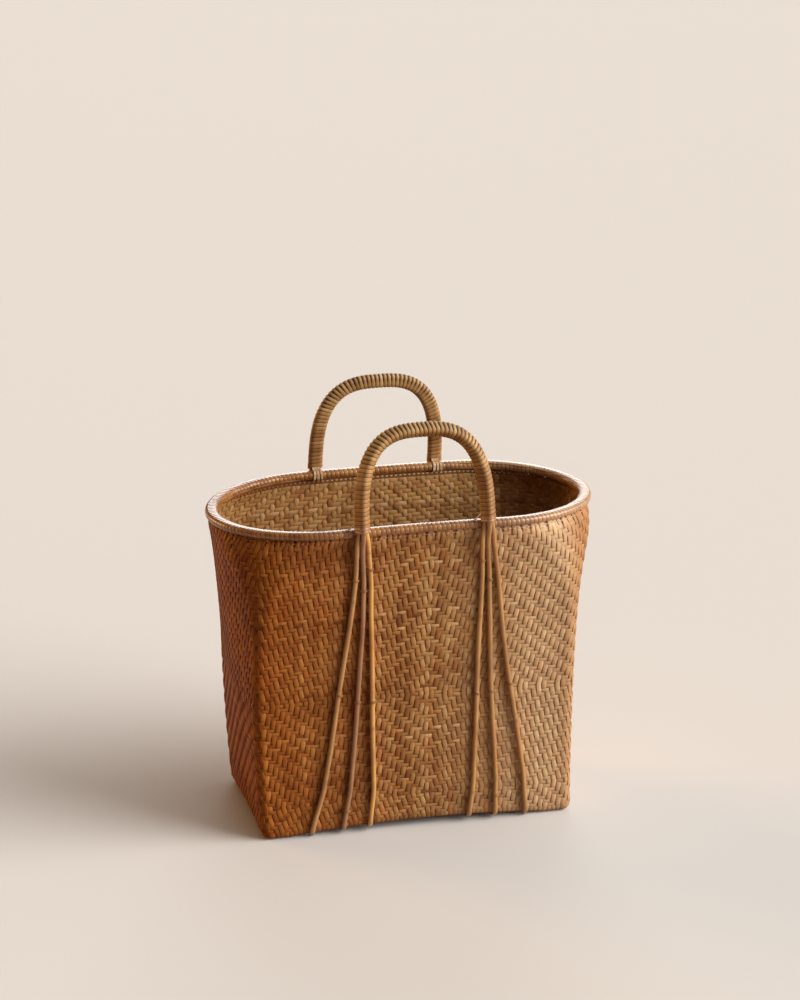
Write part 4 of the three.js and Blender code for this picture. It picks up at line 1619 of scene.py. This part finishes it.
FINISHES: dict[Slot, PlantFinish] = {
    # Split bamboo with its skin outwards: honey and tan by the strip, silky, finely streaked; painted shade
    # where strips dive, inside and on the left, painted light on the right
    Slot.WEAVE: PlantFinish(
        "split_bamboo_skin",
        ((0.0, "#6b4025"), (0.28, "#9a6e40"), (0.52, "#b48d58"), (0.76, "#c6a374"), (1.0, "#d6b690")),
        fibre=(0.9, 26.0, 0.3), dive=("#5a2c12", 0.42), patina=("#b58a62", 0.5), rough=(0.5, 0.66),
        bump=0.3, specular=0.15, hue_strength=0.6, painted_left_shade=1.0, painted_right_light=0.38, inside_shade_and_end_darkening=1.0,
    ),
    # Split bamboo lath, pale inside wood, seen only as slivers between the binding's turns
    Slot.HOOP: PlantFinish(
        "split_bamboo_lath",
        ((0.0, "#8a5c34"), (1.0, "#b98a58")),
        fibre=(1.2, 40.0, 0.3), dive=("#4a2812", 0.3), patina=("#a37650", 0.4), rough=(0.5, 0.65),
        bump=0.3, painted_left_shade=0.4,
    ),
    # Thin cane skin bound over the rim: orange brown, polished by hands; painted shade in the grooves and on
    # the left, painted light on the right
    Slot.BINDING: PlantFinish(
        "cane_skin_binding",
        ((0.0, "#764820"), (0.5, "#9e692f"), (1.0, "#b98a48")),
        fibre=(0.8, 18.0, 0.25), dive=("#4a2610", 0.7), patina=("#9a6e44", 0.5), rough=(0.34, 0.46),
        coat=0.8, specular=0.2, painted_left_shade=0.2, painted_right_light=0.2,
    ),
    # Round peeled rattan cane: golden, smooth, with darker growth rings
    Slot.CANE: PlantFinish(
        "round_rattan_cane",
        ((0.0, "#855231"), (0.25, "#a87a54"), (0.5, "#b0824c"), (0.75, "#bf8f4e"), (1.0, "#d19e55")),
        fibre=(1.0, 40.0, 0.22), dive=("#5a3418", 0.35), patina=("#a87c50", 0.45), rough=(0.3, 0.45),
        coat=0.3, painted_left_shade=0.2,
    ),
    # Flat cane strip wound round the handle: pale tan, dulled by hands, with painted shade between its turns
    # and on its legs
    Slot.WRAP: PlantFinish(
        "flat_cane_wrap",
        ((0.0, "#86592f"), (0.5, "#b48c55"), (1.0, "#d0aa74")),
        fibre=(0.9, 20.0, 0.25), dive=("#2e180a", 0.95), patina=("#a87c54", 0.45), rough=(0.46, 0.6),
        specular=0.35, leg_shade=0.5,
    ),
    # The same strip where it ties the handle to the rim, glossier because no hand rubs it; painted shade
    # between its turns and on the left
    Slot.LASHING: PlantFinish(
        "flat_cane_lashing",
        ((0.0, "#8a5c34"), (0.5, "#b58a5a"), (1.0, "#dcc09a")),
        fibre=(0.9, 20.0, 0.25), dive=("#3c2210", 0.85), patina=("#a87c54", 0.4), rough=(0.34, 0.46),
        coat=0.7, specular=0.35, painted_left_shade=0.3,
    ),
    # Narrow dark strip that ties the canes to the wall
    Slot.TIE: PlantFinish(
        "dark_cane_tie",
        ((0.0, "#754826"), (0.5, "#9a6a3c"), (1.0, "#b98c58")),
        fibre=(0.8, 12.0, 0.25), dive=("#3a1e0e", 0.7), patina=("#a37650", 0.4), rough=(0.4, 0.55),
        coat=0.1, bump=0.25, painted_left_shade=0.3,
    ),
}


@dataclass
class Studio:
    """Plain pale floor, soft studio light and the photograph's camera."""

    camera_place: tuple[float, float, float] = (-0.7273, -2.9017, 1.2873)
    camera_turn: float = -14.08
    camera_fall: float = 18.1
    lens: float = 117.0
    floor_size: float = 30.0
    floor_colour: str = "#cfc9c2"
    floor_bounce: str = "#94714f"
    window_way: tuple[float, float, float] = (0.86, -0.33, 0.39)
    room_from: float = -0.15
    room_dark: float = 0.03
    room_bright: float = 0.9
    # Name, way to the lamp, spread in degrees, strength and colour
    suns: tuple[tuple[str, tuple[float, float, float], float, float, str], ...] = (
        ("window_light", (0.8, -0.4, 0.45), 50.0, 4.5, "#ffffff"),
        ("back_light", (0.24, 0.92, 0.3), 34.0, 1.1, "#ffffff"),
        ("wood_glow", (-0.7, 0.6, 0.2), 35.0, 2.0, "#ffc478"),
    )

    def build_floor(self) -> None:
        """Models the floor as one wide flat sheet."""
        deselect_all()
        bpy.ops.mesh.primitive_plane_add(size=self.floor_size, location=(0, 0, 0))
        floor = bpy.context.active_object
        floor.name = "studio_floor"
        material = bpy.data.materials.new("matt_paper_floor")
        tree = empty_tree(material)
        # The paper is pale to the eye, but lights the basket from below as warmly as a wooden floor
        ray = add_node(tree, "LightPath", {}, {}).outputs
        seen = ray["Is Camera Ray"]
        for other in ("Is Glossy Ray", "Is Transmission Ray"):
            seen = add_node(tree, "Math", {"operation": "MAXIMUM"}, {0: seen, 1: ray[other]}).outputs[0]
        paper = add_node(
            tree, "Mix", {"data_type": "RGBA"}, {"Factor": seen, 6: self.floor_bounce, 7: self.floor_colour}
        )
        shader = add_node(
            tree, "BsdfPrincipled", {},
            {"Base Color": paper.outputs[2], "Roughness": 0.9, "Specular IOR Level": 0.2},
        )
        add_node(tree, "OutputMaterial", {}, {"Surface": shader.outputs[0]})
        floor.data.materials.append(material)
        floor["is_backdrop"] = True

    def build_world(self) -> None:
        """Lights the room softly: bright on the window's side, dim on the other."""
        world = bpy.data.worlds.new("studio_world")
        bpy.context.scene.world = world
        tree = empty_tree(world)
        way = add_node(tree, "TexCoord", {}, {}).outputs["Generated"]
        facing = add_node(tree, "VectorMath", {"operation": "DOT_PRODUCT"}, {0: way, 1: self.window_way})
        strength = add_node(
            tree, "MapRange", {"interpolation_type": "SMOOTHSTEP"},
            {"Value": facing.outputs["Value"], "From Min": self.room_from, "From Max": 1.0,
             "To Min": self.room_dark, "To Max": self.room_bright},
        )
        soft = add_node(
            tree, "Background", {}, {"Color": (1.0, 0.985, 0.965, 1.0), "Strength": strength.outputs[0]}
        )
        add_node(tree, "OutputWorld", {}, {"Surface": soft.outputs[0]})

    def build_lights(self) -> None:
        """Sets the soft distant lamps, which light the floor evenly."""
        for name, way, spread, strength, colour in self.suns:
            lamp = bpy.data.lights.new(name, "SUN")
            lamp.color = linear(colour)[:3]
            lamp.angle = math.radians(spread)
            lamp.energy = strength
            stand = bpy.data.objects.new(name, lamp)
            stand.location = Vector(way) * 3.0
            stand.rotation_euler = Vector(way).to_track_quat("Z", "Y").to_euler()
            bpy.context.scene.collection.objects.link(stand)

    def build_camera(self) -> None:
        """Sets the camera where the photograph was taken from."""
        data = bpy.data.cameras.new("photo_camera")
        data.lens = self.lens
        data.sensor_width = 36.0
        data.clip_end = 60.0
        camera = bpy.data.objects.new("photo_camera", data)
        camera.location = self.camera_place
        camera.rotation_euler = (math.radians(90 - self.camera_fall), 0.0, math.radians(self.camera_turn))
        bpy.context.scene.collection.objects.link(camera)
        bpy.context.scene.camera = camera

    def build(self) -> None:
        """Builds the whole studio."""
        self.build_camera()
        self.build_floor()
        self.build_world()
        self.build_lights()
        bpy.context.scene.view_settings.view_transform = "Standard"


def corners(box: Any) -> list[list[float]]:
    """Turns a box into plain lists of numbers."""
    return [[float(value) for value in corner] for corner in box]


def main() -> None:
    """Builds the basket and its studio."""
    logging.basicConfig(level=logging.INFO, format="%(name)s: %(message)s")
    finishes = {slot: finish.build() for slot, finish in FINISHES.items()}
    form = BasketForm()
    Studio().build()
    PlaitedBody(form).build(finishes[Slot.WEAVE])
    Rim(form).build(finishes[Slot.BINDING], finishes[Slot.HOOP])
    for side in Side:
        Handle(form, side).build(finishes)
    deselect_all()
    {"cad": corners(CAD_BOX), "visual": corners(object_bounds())}


if __name__ == "__main__":
    main()
